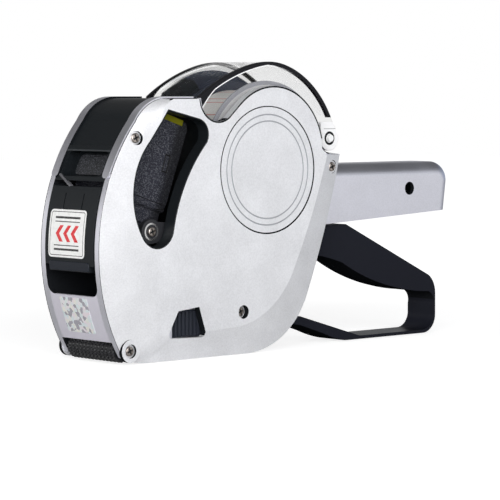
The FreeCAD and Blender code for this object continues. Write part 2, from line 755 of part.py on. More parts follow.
def head():
    """The print head: casing, side plates, belts, wheels, knob and marker."""
    wheel_h = type_front + 0.5 * type_width
    span = 0.5 * (band_count * band_pitch) + 0.2
    profile = polygon([
        (head_front, head_low), (head_front, 35.5), (head_front + 9.5, head_top),
        (head_back - 1.0, head_top), (head_back, head_top - 3.0), (4.0, 8.0), (4.0, head_low)])
    casing = slab(profile, -head_waist_half, head_waist_half)
    wide = slab(profile, -head_half, head_half)
    casing = casing.fuse(wide.cut(block(-40, 30, -20, 20, -20, head_waist)))
    lug = drum((0, 0), 4.5, -head_waist_half, head_waist_half)
    lug = lug.fuse(block(-4.5, 4.0, -head_waist_half, head_waist_half, 0, head_low + 0.5))
    casing = casing.fuse(lug)
    pocket = slab(stadium(-0.5, type_face - 3), -span, span)
    bores = [drum((wheel_h, wheel_v), selector_radius + shaft_gap, -span - 1.5, 20),
             drum((0, 0), screw_shank_radius + 0.02, -20, 20)]
    top_seat = block(head_back - 14.5, head_back - 3.0, -20, 20, head_top - marker_high, head_top + 1)
    casing = casing.cut([pocket, top_seat] + bores)
    keep("head_casing", lean(casing))

    plate = slab(polygon([
        (head_front, head_waist + 0.4), (head_front, 35.0), (head_front + 9.3, head_top - 0.3),
        (head_back - 1.2, head_top - 0.3), (head_back, head_top - 3.2), (4.2, head_waist + 0.4)]),
        head_half, arm_outer)
    step = block(head_front, head_back, arm_outer - 0.5, arm_outer, head_waist, head_waist + 3.2)
    tick = block(-2.4, 0.6, arm_outer - 0.3, arm_outer + 1, 25.5, 33.2)
    tick = tick.cut(block(-1.9, 0.1, arm_outer - 1, arm_outer + 2, 26.0, 32.7))
    plate = plate.cut([step, tick, top_seat])
    bore = drum((wheel_h, wheel_v), selector_radius + shaft_gap, 0, 20)
    keep("right_head_plate", lean(plate.cut(bore)))
    keep("left_head_plate", lean(other_side(plate)))

    marker = block(head_back - 14.4, head_back - 3.1, -arm_outer, arm_outer,
                   head_top - marker_high + 0.05, head_top + 0.3)
    keep("marker_strip", lean(marker))

    belts = []
    wheels = []
    for number in range(band_count):
        middle = (number - 0.5 * (band_count - 1)) * band_pitch
        low, high = middle - 0.5 * band_wide, middle + 0.5 * band_wide
        belt = slab(stadium(0.0), low, high).cut(slab(stadium(band_thick), low - 1, high + 1))
        belts.append(lean(belt))
        rim = 0.5 * type_width - band_thick - 0.1
        wheel = drum((wheel_h, wheel_v), rim, low, high)
        wheel = wheel.cut(drum((wheel_h, wheel_v), selector_radius + shaft_gap, low - 1, high + 1))
        wheels.append(lean(wheel))
    keep("type_bands", *belts)
    keep("band_wheels", *wheels[:-1])
    keep("units_wheel", wheels[-1])

    bar = block(type_front + band_thick + 0.4, type_front + type_width - band_thick - 0.4,
                -span + 0.1, span - 0.1, type_face + band_thick + 0.1, 1.5)
    keep("print_bar", lean(bar))

    shaft = drum((wheel_h, wheel_v), selector_radius, -span - 1.0, inner_half + 0.2)
    keep("selector_shaft", lean(shaft))
    knob = drum((wheel_h, wheel_v), knob_radius, inner_half + 0.2, body_half)
    grip = [drum(polar((wheel_h, wheel_v), knob_radius + 0.5, 20 * n), 0.9, 0, 40) for n in range(18)]
    keep("selector_knob", lean(knob.cut(grip)))

    screws = []
    for side in (1, -1):
        piece = screw((0, 0), side, arm_outer)
        screws.append(lean(piece))
    keep("head_screws", *screws)


def ink_cover():
    """Black front flap: curved face, side arms to the ink roller and hinge pins."""
    outer = nose_radius + flap_proud
    face = band(flap_low_z, flap_top_z, outer - flap_thick, outer, -flap_half, flap_half)
    scoop = block(nose_x - 10, nose_x + 20, flap_half - 2.5, frame_half, flap_low_z - 1, flap_low_z + 2.6)
    slot = block(nose_x - 10, flap_hinge[0] - 3.1, 5.65, 6.35, flap_hinge_z - 7.2, flap_hinge_z - 0.6)
    face = face.cut(both(scoop) + both(slot))
    arm_top = on_nose(64.0, nose_radius - 0.1)
    arm = slab(outline(arm_top, [
        ((flap_hinge[0] + 0.9, 61.0),),
        (polar(ink_centre, 3.0, 30),),
        (polar(ink_centre, 3.0, 320), polar(ink_centre, 3.0, 250)),
        (on_nose(40.6, nose_radius - 2.5),),
        (on_nose(50.0, nose_radius - 1.2), arm_top)]), flap_half - 2.0, flap_half - 0.3)
    ear = drum(flap_hinge, 3.0, flap_half - 2.0, flap_half)
    offsets = [(-4.1, 2.0), (0.0, 2.9), (2.5, 0.0), (0.0, -11.0), (-4.9, -11.0)]
    neck = slab(polygon([(flap_hinge[0] + x, flap_hinge[1] + z) for x, z in offsets]),
                flap_half - 2.0, flap_half)
    neck = neck.common(band(58, 75, nose_radius - 12, nose_radius - 0.5, 0, 20))
    pin = drum(flap_hinge, flap_pin_radius, flap_half - 1, frame_half - 0.7)
    half = arm.fuse([ear, neck, pin])
    whole = face.fuse([half, other_side(half)])
    return whole.cut(drum(ink_centre, ink_shaft_radius + shaft_gap, -20, 20))


def ink_roller():
    return drum(ink_centre, ink_radius, -ink_half, ink_half).cut(
        drum(ink_centre, ink_shaft_radius + shaft_gap, -20, 20))


def applicator():
    """Ribbed roller that presses the label down."""
    half = 0.5 * (rib_count - 1) * rib_pitch + 0.5 * rib_wide
    roller = drum(axle, applicator_radius - rib_deep, -half, half)
    ribs = []
    for number in range(rib_count):
        middle = (number - 0.5 * (rib_count - 1)) * rib_pitch
        ribs.append(drum(axle, applicator_radius, middle - 0.5 * rib_wide, middle + 0.5 * rib_wide))
    return roller.fuse(ribs).cut(drum(axle, axle_radius + shaft_gap, -20, 20))


def roll_holder():
    """Right holder: flange beside the roll, spigot in its core and stub to the wall."""
    inner = roll_half + 0.45
    flange = drum(roll_centre, flange_radius, inner, inner + flange_thick)
    crest = drum(roll_centre, flange_crest, inner, inner + flange_thick)
    crest = crest.common(block(-60, 60, 0, inner_half, rear_top[1] - 0.4, 140))
    spigot = drum(roll_centre, core_bore - shaft_gap, inner - 3.5, inner)
    stub = drum(roll_centre, 8.0, inner, inner_half)
    return flange.fuse([crest, spigot, stub]).cut(drum(roll_centre, 5.5, 0, inner_half - 1.5))


def feed_wheel():
    """Toothed wheel that pulls the label strip."""
    wheel = drum(feed_axle, feed_radius - 0.8, -feed_half, feed_half)
    teeth = []
    for number in range(feed_teeth):
        tooth = block(-0.9, 0.9, -feed_half, feed_half, feed_radius - 1.6, feed_radius)
        tooth.rotate(FreeCAD.Vector(0, 0, 0), FreeCAD.Vector(0, 1, 0), 360.0 / feed_teeth * number)
        tooth.translate(at(feed_axle))
        teeth.append(tooth)
    return wheel.fuse(teeth).cut(drum(feed_axle, feed_shaft_radius + shaft_gap, -20, 20))


def feed_slide():
    """Slide that the lever pulls back, with a springy pawl at its front."""
    low = 5.4
    half = link_half + 2.2
    strip = block(-50.0, -8.0, -3.0, 3.0, low, low + 1.4)
    pawl = slab(polygon([(-50.0, low), (-54.5, low - 0.2), (-53.6, low + 0.8), (-50.0, low + 1.4)]),
                -3.0, 3.0)
    foot = block(-12.5, -8.0, -half, half, low, low + 2.0)
    cheek = slab(polygon([(-12.5, low), (-8.0, low), (1.5, 14.0), (1.5, drive_pin[1] + 4.0),
                          (-8.5, drive_pin[1] + 4.0), (-12.5, 12.0)]), link_half + slide_gap, half)
    slot = block(drive_pin[0] - drive_pin_radius - 0.35, drive_pin[0] + drive_pin_radius + 0.35,
                 0, 20, drive_pin[1] - 5.8, drive_pin[1] + 1.9)
    cheek = cheek.cut(slot)
    return strip.fuse([pawl, foot, cheek, other_side(cheek)])


def ribbon(points, thick):
    """Side-view wire of a thin strip whose middle runs through the points."""
    sides = ([], [])
    for number, (x, z) in enumerate(points):
        before = points[max(number - 1, 0)]
        after = points[min(number + 1, len(points) - 1)]
        ways = []
        for a, b in ((before, (x, z)), ((x, z), after)):
            length = math.hypot(b[0] - a[0], b[1] - a[1])
            if length > 0:
                ways.append(((b[0] - a[0]) / length, (b[1] - a[1]) / length))
        across = [(-w[1], w[0]) for w in ways]
        sum_x = sum(n[0] for n in across) / len(across)
        sum_z = sum(n[1] for n in across) / len(across)
        reach = 0.5 * thick / (sum_x ** 2 + sum_z ** 2)
        sides[0].append((x + sum_x * reach, z + sum_z * reach))
        sides[1].append((x - sum_x * reach, z - sum_z * reach))
    return polygon(sides[0] + sides[1][::-1])


def label_strip():
    """Backing strip from the roll, over the platen and back under it to the feed wheel."""
    over = bed_top_z + 0.5 * strip_thick
    under = bed_low_z - 0.6 - 0.5 * strip_thick
    front = bed_front_x - 0.7 - 0.5 * strip_thick
    wrap = [polar(feed_axle, feed_radius + 0.5, angle) for angle in (215, 235, 255, 275, 290)]
    route = [polar(roll_centre, roll_radius + 0.5, 190), (feed_axle[0] - 1.5, feed_axle[1] + 11.0),
             (feed_axle[0] - 7.3, feed_axle[1] + 5.5),
             (bed_rear_x + 1.0, over), (front, over), (front, under), (-72.5, under)]
    return slab(ribbon(route + wrap, strip_thick), -roll_half + 0.4, roll_half - 0.4)


def cover_latch():
    """Ribbed pads in the lower windows, joined by a cross bar."""
    pad = block(latch_front_x, latch_rear_x, inner_half + slide_gap, frame_half - 0.9,
                latch_low_z, latch_top_z)
    ribs = []
    count = 7
    pitch = (latch_rear_x - latch_front_x - 4.0) / count
    for number in range(count):
        x = latch_front_x + 1.2 + pitch * number
        ribs.append(block(x, x + 0.5 * pitch, frame_half - 1.0, frame_half - 0.1,
                          latch_low_z + 0.6, latch_top_z - 0.6))
    pad = pad.fuse(ribs)
    bar = block(latch_rear_x - 2.4, latch_rear_x, 0.0, inner_half + slide_gap + 0.1,
                latch_low_z, latch_low_z + 3.2)
    half = pad.fuse(bar)
    return half.fuse(other_side(half))


def base_door():
    """Door in the base, between the rails."""
    half = rail_inner - slide_gap
    rear_x = door_hinge[0]
    plate = block(base_front_x + 1.0, rear_x, -half, half, 0.3, door_thick + 0.3)
    rib = block(base_front_x + 3.0, rear_x - 6.0, half - 2.4, half - 1.2, door_thick, door_thick + 1.4)
    knuckle = drum(door_hinge, 1.6, -half + 1.9, half - 1.9)
    plate = plate.cut(block(rear_x - 3.4, rear_x + 3, half - 1.9, half + 1, -1, 10))
    plate = plate.cut(block(rear_x - 3.4, rear_x + 3, -half - 1, -half + 1.9, -1, 10))
    door = plate.fuse([rib, other_side(rib), knuckle])
    return door.cut(drum(door_hinge, door_pin_radius + shaft_gap, -20, 20))


def return_spring():
    """Compression spring between its shelf and the cross bar of the print yoke."""
    path = Part.makeHelix(spring_pitch, bar_z - shelf_z - spring_wire, spring_radius)
    start = path.Edges[0].valueAt(path.Edges[0].FirstParameter)
    circle = Part.Circle(start, FreeCAD.Vector(0, 1, 0), 0.5 * spring_wire)
    coil = Part.Wire(path.Edges).makePipeShell([Part.Wire(circle.toShape())], True, True)
    coil.translate(FreeCAD.Vector(spring_x, 0, shelf_z + 0.5 * spring_wire))
    return coil


def build():
    half = housing_half()
    keep("right_housing", half)
    keep("left_housing", other_side(half))
    panel = side_panel()
    keep("right_side_panel", panel)
    keep("left_side_panel", other_side(panel))
    disc = badge()
    keep("right_badge", disc)
    keep("left_badge", other_side(disc))
    liner = window_liner()
    keep("right_window_liner", liner)
    keep("left_window_liner", other_side(liner))
    floor = frame_half + screw_floor
    keep("case_screws", *[screw(s, side, floor) for side in (1, -1) for s in panel_screws])
    keep("axle_screws", *[screw(axle, side, floor) for side in (1, -1)])
    keep("front_cover", front_cover())
    keep("roll_cover", roll_cover())
    keep("roll_guide", roll_guide())
    pin = drum(cover_hinge, hinge_pin_radius, cover_half - 3.0, frame_half - 0.2)
    keep("cover_hinge_pins", *both(pin))
    keep("label_core", drum(roll_centre, core_radius, -roll_half, roll_half).cut(
        drum(roll_centre, core_bore, -20, 20)))
    keep("label_roll", drum(roll_centre, roll_radius, -roll_half, roll_half).cut(
        drum(roll_centre, core_radius, -20, 20)))
    holder = roll_holder()
    keep("right_roll_holder", holder)
    keep("left_roll_holder", other_side(holder))
    keep("hand_lever", lever())
    keep("pivot_shaft", drum(pivot, shaft_radius, -frame_half + 0.4, frame_half - 0.4))
    keep("print_yoke", yoke())
    keep("return_spring", return_spring())
    keep("drive_pin", drum(drive_pin, drive_pin_radius - 0.02, -link_half - 2.0, link_half + 2.0))
    head()
    keep("ink_cover", ink_cover())
    keep("ink_roller", ink_roller())
    keep("ink_shaft", drum(ink_centre, ink_shaft_radius, -flap_half + 0.3, flap_half - 0.3))
    keep("applicator_roller", applicator())
    bore = drum(axle, screw_shank_radius + 0.02, frame_half + screw_floor - screw_reach - 0.2, 30)
    keep("applicator_axle", drum(axle, axle_radius, -frame_half - 0.5, frame_half + 0.5).cut(both(bore)))
    keep("platen", block(bed_front_x, bed_rear_x, -inner_half, inner_half, bed_low_z, bed_top_z))
    edge = block(bed_front_x - 0.7, bed_front_x, -ink_half, ink_half, bed_low_z - 0.6, bed_top_z)
    keep("peel_plate", edge)
    keep("label_strip", label_strip())
    keep("feed_wheel", feed_wheel())
    keep("feed_shaft", drum(feed_axle, feed_shaft_radius, -inner_half + 0.5, inner_half - 0.5))
    keep("feed_slide", feed_slide())
    keep("cover_latch", cover_latch())
    keep("base_door", base_door())
    pin = drum(door_hinge, door_pin_radius, 2.0, rail_inner + 0.2)
    keep("door_pins", *both(pin))


build()
os.makedirs("parts", exist_ok=True)
for name, solids in PARTS.items():
    shape = solids[0] if len(solids) == 1 else Part.makeCompound(solids)
    shape.exportStep("parts/" + name + ".step")
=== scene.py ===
import math

import bmesh
import bpy
from mathutils import Matrix, Vector


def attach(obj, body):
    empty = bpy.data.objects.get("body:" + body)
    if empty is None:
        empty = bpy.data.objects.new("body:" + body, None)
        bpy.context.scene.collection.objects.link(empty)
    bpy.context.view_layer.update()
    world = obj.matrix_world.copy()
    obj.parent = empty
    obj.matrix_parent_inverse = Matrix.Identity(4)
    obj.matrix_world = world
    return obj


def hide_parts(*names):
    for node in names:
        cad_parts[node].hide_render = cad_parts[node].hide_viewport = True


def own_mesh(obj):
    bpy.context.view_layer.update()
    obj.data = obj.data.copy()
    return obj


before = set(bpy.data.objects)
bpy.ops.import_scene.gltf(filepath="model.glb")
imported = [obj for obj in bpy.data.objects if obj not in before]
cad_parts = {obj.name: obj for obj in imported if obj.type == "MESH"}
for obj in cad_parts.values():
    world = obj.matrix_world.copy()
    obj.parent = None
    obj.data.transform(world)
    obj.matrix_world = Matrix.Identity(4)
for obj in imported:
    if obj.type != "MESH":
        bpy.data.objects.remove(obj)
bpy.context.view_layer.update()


# Housing halves. Two mirrored mouldings in black plastic, silver-coated outside, screwed together
# on the middle plane. They carry the side walls, the front panel, the rails and the hollow handle.
MM = 0.001      # sizes in this file are millimetres, and the frame is in metres


class Wire:
    """A socket of a material, so that shader maths reads as a Python expression."""

    def __init__(self, tree, socket=None):
        self.tree = tree
        self.socket = socket

    def node(self, kind, settings=None, inputs=None, out=0):
        """Adds a node: its settings first, then the values or links of its sockets."""
        made = self.tree.nodes.new("ShaderNode" + kind)
        for key, value in (settings or {}).items():
            if key == "stops":
                while len(made.color_ramp.elements) < len(value):
                    made.color_ramp.elements.new(0.5)
                for element, (place, colour) in zip(made.color_ramp.elements, value):
                    element.position = place
                    element.color = (*colour, 1.0)
            else:
                setattr(made, key, value)
        for key, value in (inputs or {}).items():
            socket = made.inputs[key]
            if isinstance(value, Wire):
                self.tree.links.new(value.socket, socket)
            elif socket.type == "RGBA":
                socket.default_value = (*value, 1.0)
            else:
                socket.default_value = value
        return Wire(self.tree, made.outputs[out])

    def math(self, operation, first, second=0.0):
        return self.node("Math", {"operation": operation}, {0: first, 1: second})

    def __add__(self, other):
        return self.math("ADD", self, other)

    __radd__ = __add__

    def __sub__(self, other):
        return self.math("SUBTRACT", self, other)

    def __rsub__(self, other):
        return self.math("SUBTRACT", other, self)

    def __mul__(self, other):
        return self.math("MULTIPLY", self, other)

    __rmul__ = __mul__

    def __mod__(self, other):
        return self.math("FLOORED_MODULO", self, other)

    def __gt__(self, other):
        return self.math("GREATER_THAN", self, other)

    def __lt__(self, other):
        return self.math("LESS_THAN", self, other)

    def __abs__(self):
        return self.math("ABSOLUTE", self)

    def __or__(self, other):
        return self.math("MAXIMUM", self, other)

    def __and__(self, other):
        return self.math("MINIMUM", self, other)

    def blur(self, low, high):
        """0 below low, 1 above high, smooth between."""
        return self.node("MapRange", {"interpolation_type": "SMOOTHSTEP"},
                         {0: self, 1: low, 2: high, 3: 0.0, 4: 1.0})

    def near(self, value, reach):
        """1 where this is within reach of a value."""
        return abs(self - value) < reach

    def mix(self, colour_a, colour_b):
        """Colour a where this is 0, colour b where it is 1."""
        return self.node("Mix", {"data_type": "RGBA"}, {0: self, 6: colour_a, 7: colour_b}, out=2)

    def noise(self, scale, detail=2.0):
        return self.node("TexNoise", {}, {"Vector": self, "Scale": scale, "Detail": detail})

    def vector(self, *parts):
        """A vector of up to three parts."""
        return self.node("CombineXYZ", {}, dict(enumerate(parts)))

    def length(self):
        return self.node("VectorMath", {"operation": "LENGTH"}, {0: self}, out=1)

    def axes(self):
        """The three parts of a vector."""
        split = self.tree.nodes.new("ShaderNodeSeparateXYZ")
        self.tree.links.new(self.socket, split.inputs[0])
        return [Wire(self.tree, split.outputs[n]) for n in range(3)]

    def mm(self):
        """The three coordinates of a place, in millimetres."""
        return self.node("VectorMath", {"operation": "SCALE"}, {0: self, 3: 1.0 / MM}).axes()

    def facing(self):
        """The three parts of the direction in which the surface looks."""
        return self.node("NewGeometry", out=3).axes()

    def from_line(self, centre):
        """Distance in millimetres from a line across the width, through a side-view point."""
        x, _, z = self.mm()
        return self.vector(x - centre[0], 0.0, z - centre[1]).length()


def new_finish(name, roughness, metallic=0.0, **fixed):
    """A new material with its Principled shader, and its Object coordinates in metres."""
    material = bpy.data.materials.new(name)
    material.use_nodes = True
    shader = material.node_tree.nodes["Principled BSDF"]
    for key, value in dict(Roughness=roughness, Metallic=metallic, **fixed).items():
        shader.inputs[key.replace("_", " ")].default_value = value
    place = Wire(material.node_tree).node("TexCoord", out=3)
    return material, shader, place


def feed(shader, **sockets):
    """Links wires to the shader's sockets."""
    for key, wire in sockets.items():
        wire.tree.links.new(wire.socket, shader.inputs[key.replace("_", " ")])


def over(shader, mask, colour, roughness, gloss):
    """Other plastic in place of the shader's where a mask is 1."""
    plain = mask.node("BsdfPrincipled", {}, {"Roughness": roughness, "Base Color": colour,
                                             "Specular IOR Level": gloss})
    blend = mask.node("MixShader", {}, {0: mask, 1: Wire(mask.tree, shader.outputs[0]), 2: plain})
    mask.tree.links.new(blend.socket, mask.tree.nodes["Material Output"].inputs[0])


bare_and_shade_black, bare_and_shade_roughness = (0.010, 0.011, 0.013), 0.5      # the plastic under a coat, and the dark of painted shade
broad_scale, gloss_change, texture_detail = 60.0, 0.12, 3.0


def moulded(name, colour, roughness, grain=3000.0, depth=0.02, mottle=0.04, metallic=0.0,
            paint=None, **fixed):
    """Moulded or coated plastic: a fine grain in its height, a slight mottle in colour and gloss.
    paint is a function from the place and the plain colour to a colour with marks on it and, where
    the coat leaves the plastic bare or shade is painted dark, a mask of that. metallic is a number,
    or a function of the place."""
    spread = metallic if callable(metallic) else None
    material, shader, place = new_finish(name, roughness, 0.0 if spread else metallic, **fixed)
    if spread:
        feed(shader, Metallic=spread(place))
    fine = place.noise(grain, texture_detail)
    broad = place.noise(broad_scale, texture_detail)
    shade = (broad - 0.5) * mottle + (fine - 0.5) * mottle + 1.0
    tint = place.node("VectorMath", {"operation": "SCALE"}, {0: colour, 3: shade})
    bare = None
    if paint:
        tint = paint(place, tint)
    if isinstance(tint, tuple):
        tint, bare = tint
    bump = place.node("Bump", {}, {"Strength": 1.0, "Distance": depth * MM, "Height": fine})
    feed(shader, Base_Color=tint, Roughness=(broad - 0.5) * gloss_change + roughness, Normal=bump)
    # The mask holds bare plastic and painted shade alike; both get the same dark plastic.
    if bare:
        over(shader, bare, bare_and_shade_black, bare_and_shade_roughness, 0.0)
    return material


def round_edges(mesh, edges, width, segments, clamp=False):
    """Turns edges into a bevel of a few flats."""
    bmesh.ops.bevel(mesh, geom=edges, offset=width, offset_type="OFFSET", affect="EDGES",
                    segments=segments, profile=0.5, material=-1, clamp_overlap=clamp)


weld_gap = 0.01 * MM
flat_turn, crisp_turn, sharp_turn = math.radians(0.8), math.radians(5.0), math.radians(32.0)
flat_side = 0.9999      # a face that looks this squarely across the width is a flat side


def rounded(name, node, width, material, body, segments=3, crisp=False):
    """A piece in place of a CAD node: its mesh merged, its flats cleared, its edges rounded.
    Crisp keeps a hard line where a flat side meets its bevel."""
    mesh = bmesh.new()
    mesh.from_mesh(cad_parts[node].data)
    bmesh.ops.remove_doubles(mesh, verts=mesh.verts, dist=weld_gap)
    bmesh.ops.dissolve_limit(mesh, angle_limit=flat_turn, verts=mesh.verts, edges=mesh.edges)
    turning = [(e, e.calc_face_angle()) for e in mesh.edges if e.is_manifold]
    if crisp:
        for e, angle in turning:
            if angle > crisp_turn and max(abs(f.normal.y) for f in e.link_faces) > flat_side:
                e.smooth = False
    if width:
        sharp = [e for e, angle in turning if angle > sharp_turn]
        round_edges(mesh, sharp, width * MM, segments, clamp=True)
    return piece(name, mesh, material, body, node)


def piece(name, mesh, material, body, *nodes, smooth=40.0):
    """Makes an object of a bmesh, shades it, and lets it ride on its body."""
    for face in mesh.faces:
        face.smooth = True
    for edge in mesh.edges:
        if edge.calc_face_angle(0.0) > math.radians(smooth):
            edge.smooth = False
    data = bpy.data.meshes.new(name)
    mesh.to_mesh(data)
    mesh.free()
    data.materials.append(material)
    made = bpy.data.objects.new(name, data)
    bpy.context.scene.collection.objects.link(made)
    even = made.modifiers.new("even_normals", "WEIGHTED_NORMAL")
    even.keep_sharp = True
    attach(made, body)
    if nodes:
        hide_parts(*nodes)
    return made


strap_hole, strap_bore = (81.0, 68.0), 3.0
panel_rear, panel_top, panel_half = -85.0, 29.0, 15.6       # limits of the curved front panel
panel_colour = (0.74, 0.72, 0.80)
inner_face = -1.5       # place across the width times direction across it; less is an inner face
flakes, fewer_flakes = 0.95, 0.55


def front_panel(place):
    """1 on the curved panel under the mouth."""
    x, y, z = place.mm()
    return (x < panel_rear) * (z < panel_top) * (abs(y) < panel_half)


def coat_marks(place, coat):
    """No coat on the inner faces of the walls; the strap hole is painted dark as shade, and the
    front panel is duller.
    """
    inward = place.facing()[1]
    # The strap hole's bore is painted dark as shade.
    inner_faces_and_shaded_hole = (inward * place.mm()[1] < inner_face) | (place.from_line(strap_hole) < strap_bore)
    return front_panel(place).mix(coat, panel_colour), inner_faces_and_shaded_hole


def flake_share(place):
    """The coat is thinner, with fewer flakes, on the front panel."""
    return flakes - front_panel(place) * fewer_flakes


silver = moulded("silver_coat", (0.74, 0.74, 0.80), 0.36, grain=1700, depth=0.012, mottle=0.22,
                 metallic=flake_share, paint=coat_marks)
for side in ("left", "right"):
    half = rounded("dressed_%s_housing" % side, side + "_housing", 0.25, silver, "body")


# Side panels and badges. A plate of white silver plastic on each side, coated on its face; painted
# shade darkens the walls of its edges and cuts, a rim round the notch for the clear cover, and the
# badge's seat. A bare round badge with two rings is pressed into it.
latch_window, latch_reach = (-60.0, 15.0), 14.5
lobe_centre, arc_centre, ear_centre = (-46.0, 110.0), (-14.0, 85.2), (20.1, 92.0)
lobe_end, arc_start, ear_start = (-39.3, 102.3), (-33.4, 107.5), (14.8, 91.9)
lobe_top, straight_foot = 112.0, 100.0
lobe_rim, straight_rim, arc_rim, ear_rim = (10.55, 0.35), (0.0, 0.6), (29.25, 0.35), (6.65, 0.35)
notch_front, notch_rear, notch_foot = -41.0, 20.0, 99.5
edge_facing, level_facing = 0.35, 0.6       # less across the width is an edge; more up is level
badge_centre, badge_radius, badge_edge = (-17.7, 78.8), 27.2, 0.2
badge_rings, ring_half, ring_shadow_grey = (23.75, 20.95), 0.3, (0.40, 0.41, 0.44)
seat_shadow, wider_rearward, wider_downward = 0.34, 0.007, 0.005


def shaded_cuts(place, coat):
    """Painted shade: the plate's square edges and holes are dark, except above and below the latch
    window and in the notch for the clear cover. So are a thin rim round that notch and the badge's
    seat, where the painted shadow widens towards the lower rear."""
    _, across, up = place.facing()
    cut = abs(across) < edge_facing
    latch = (place.from_line(latch_window) < latch_reach) * (abs(up) > level_facing)
    x, _, z = place.mm()
    run, rise = arc_start[0] - lobe_end[0], arc_start[1] - lobe_end[1]
    slope = math.hypot(run, rise)
    off_line = (x - lobe_end[0]) * (rise / slope) - (z - lobe_end[1]) * (run / slope)
    lobe = place.from_line(lobe_centre).near(*lobe_rim) * (x < lobe_end[0]) * (z < lobe_top)
    straight = (off_line.near(*straight_rim) * (x > lobe_end[0]) * (x < arc_start[0])
                * (z > straight_foot))
    arc = place.from_line(arc_centre).near(*arc_rim) * (x > arc_start[0]) * (z > ear_start[1])
    ear = (place.from_line(ear_centre).near(*ear_rim) * (x > ear_start[0]) * (x < ear_centre[0])
           * (z < ear_centre[1]))
    # Painted shadow lines round the notch for the clear cover and in the badge's seat.
    rim = lobe | straight | arc | ear
    seat_half = ((x - badge_centre[0]) * wider_rearward - (z - badge_centre[1]) * wider_downward
                 + seat_shadow)
    seat_shade = abs(place.from_line(badge_centre) - badge_radius) < seat_half
    notch = (x > notch_front) * (x < notch_rear) * (z > notch_foot)
    return coat, (cut - latch - notch | rim * (1.0 - cut) | seat_shade).blur(0.0, 1.0)


def ring_marks(place, coat):
    """The two rings of the badge hold a painted shadow, and its edge is painted as dark as its
    seat's painted shade.
    """
    around = place.from_line(badge_centre)
    rings = around.near(badge_rings[0], ring_half) | around.near(badge_rings[1], ring_half)
    return rings.mix(coat, ring_shadow_grey), around > badge_radius - badge_edge


white_silver = moulded("white_silver", (0.78, 0.785, 0.81), 0.38, grain=1500, depth=0.012,
                       mottle=0.30, metallic=0.45, paint=shaded_cuts)
badge_silver = moulded("badge_silver", (0.77, 0.775, 0.80), 0.38, grain=1500, depth=0.012,
                       mottle=0.30, metallic=0.45, paint=ring_marks)
for side in ("left", "right"):
    panel = rounded("dressed_%s_panel" % side, side + "_side_panel", 0.3, white_silver, "body",
                    crisp=True)
    badge = rounded("dressed_%s_badge" % side, side + "_badge", 0.1, badge_silver, "body",
                    segments=2)


# Front cover, window liners, base door, feed slide, platen and roll guide. Moulded in black
# plastic with a fine spark texture; they clip, hinge, slide or screw into the housing.
black = moulded("satin_black", (0.009, 0.011, 0.013), 0.42, grain=3500, depth=0.02, mottle=0.2,
                Specular_IOR_Level=0.16)
top_bead, low_bead, bead_rear = (87.9, 0.45), (75.2, 0.4), -90.0
bead_highlight_black, top_highlight_share = (0.055, 0.060, 0.065), 0.8


def bead_highlights(place, coat):
    """Painted highlights along the two beads across the front cover."""
    x, _, z = place.mm()
    # Paler lines painted as highlights on the beads.
    beads = (z.near(*top_bead) * top_highlight_share | z.near(*low_bead)) * (x < bead_rear)
    return beads.mix(coat, bead_highlight_black)


nose_black = moulded("nose_black", (0.007, 0.009, 0.011), 0.42, grain=3500, depth=0.02, mottle=0.2,
                     paint=bead_highlights, Specular_IOR_Level=0.2)
rounded("dressed_front_cover", "front_cover", 0.4, nose_black, "body")
for node, width, body in (("left_window_liner", 0.15, "body"), ("right_window_liner", 0.15, "body"),
                          ("base_door", 0.2, "door"), ("feed_slide", 0.2, "slide"),
                          ("platen", 0.3, "body"), ("roll_guide", 0.3, "body")):
    rounded("dressed_" + node, node, width, black, body)


# Pad in the recess of the front cover. A raised island with a coarse spark texture, moulded in one
# with the cover, and the slanting rib on the cover's cheek beside it, in a paler grey that is a
# painted highlight.
nose_centre = (-25.6, 46.5)
square_turn = 1.2       # radians; an edge that turns more is a square one
corner_steps, edge_steps, facet = 6, 3, 1.6
cut_gap = 0.0001        # points nearer than this to a cutting plane are on it


def nose_sheet(across, up, radius, thick, corner, edge=0.0, turn=0.0):
    """A sheet with rounded corners, bent round the nose; radius is that of its outer face."""
    mesh = bmesh.new()
    bmesh.ops.create_grid(mesh, x_segments=1, y_segments=1, size=0.5)
    bmesh.ops.scale(mesh, vec=(across[1] - across[0], up[1] - up[0], 1.0), verts=mesh.verts)
    bmesh.ops.bevel(mesh, geom=list(mesh.verts), offset=corner, offset_type="OFFSET",
                    affect="VERTICES", segments=corner_steps, profile=0.5, material=-1)
    bmesh.ops.rotate(mesh, cent=(0, 0, 0), matrix=Matrix.Rotation(math.radians(turn), 3, "Z"),
                     verts=mesh.verts)
    bmesh.ops.translate(mesh, vec=(0.5 * sum(across), 0.5 * sum(up), 0.0), verts=mesh.verts)
    low, high = min(v.co.y for v in mesh.verts), max(v.co.y for v in mesh.verts)
    cuts = max(2, int((high - low) / facet))
    for n in range(1, cuts):
        cut_at(mesh, (0, low + (high - low) * n / cuts, 0), (0, 1, 0), cut_gap)
    bmesh.ops.solidify(mesh, geom=mesh.faces[:], thickness=thick)
    bmesh.ops.recalc_face_normals(mesh, faces=mesh.faces)
    top = max(v.co.z for v in mesh.verts)
    if edge:
        rim = [e for e in square_edges(mesh) if all(v.co.z > top - 0.001 for v in e.verts)]
        round_edges(mesh, rim, edge, edge_steps)
    for v in mesh.verts:
        reach = radius + v.co.z - top
        depth = math.sqrt(reach ** 2 - (v.co.y - nose_centre[1]) ** 2)
        v.co = (nose_centre[0] - depth, v.co.x, v.co.y)
    mesh.normal_update()
    bmesh.ops.recalc_face_normals(mesh, faces=mesh.faces)
    in_metres(mesh)
    return mesh


def cut_at(mesh, point, normal, gap):
    """Cuts new edges into a mesh where a plane goes through it."""
    bmesh.ops.bisect_plane(mesh, geom=mesh.verts[:] + mesh.edges[:] + mesh.faces[:], dist=gap,
                           plane_co=point, plane_no=normal)


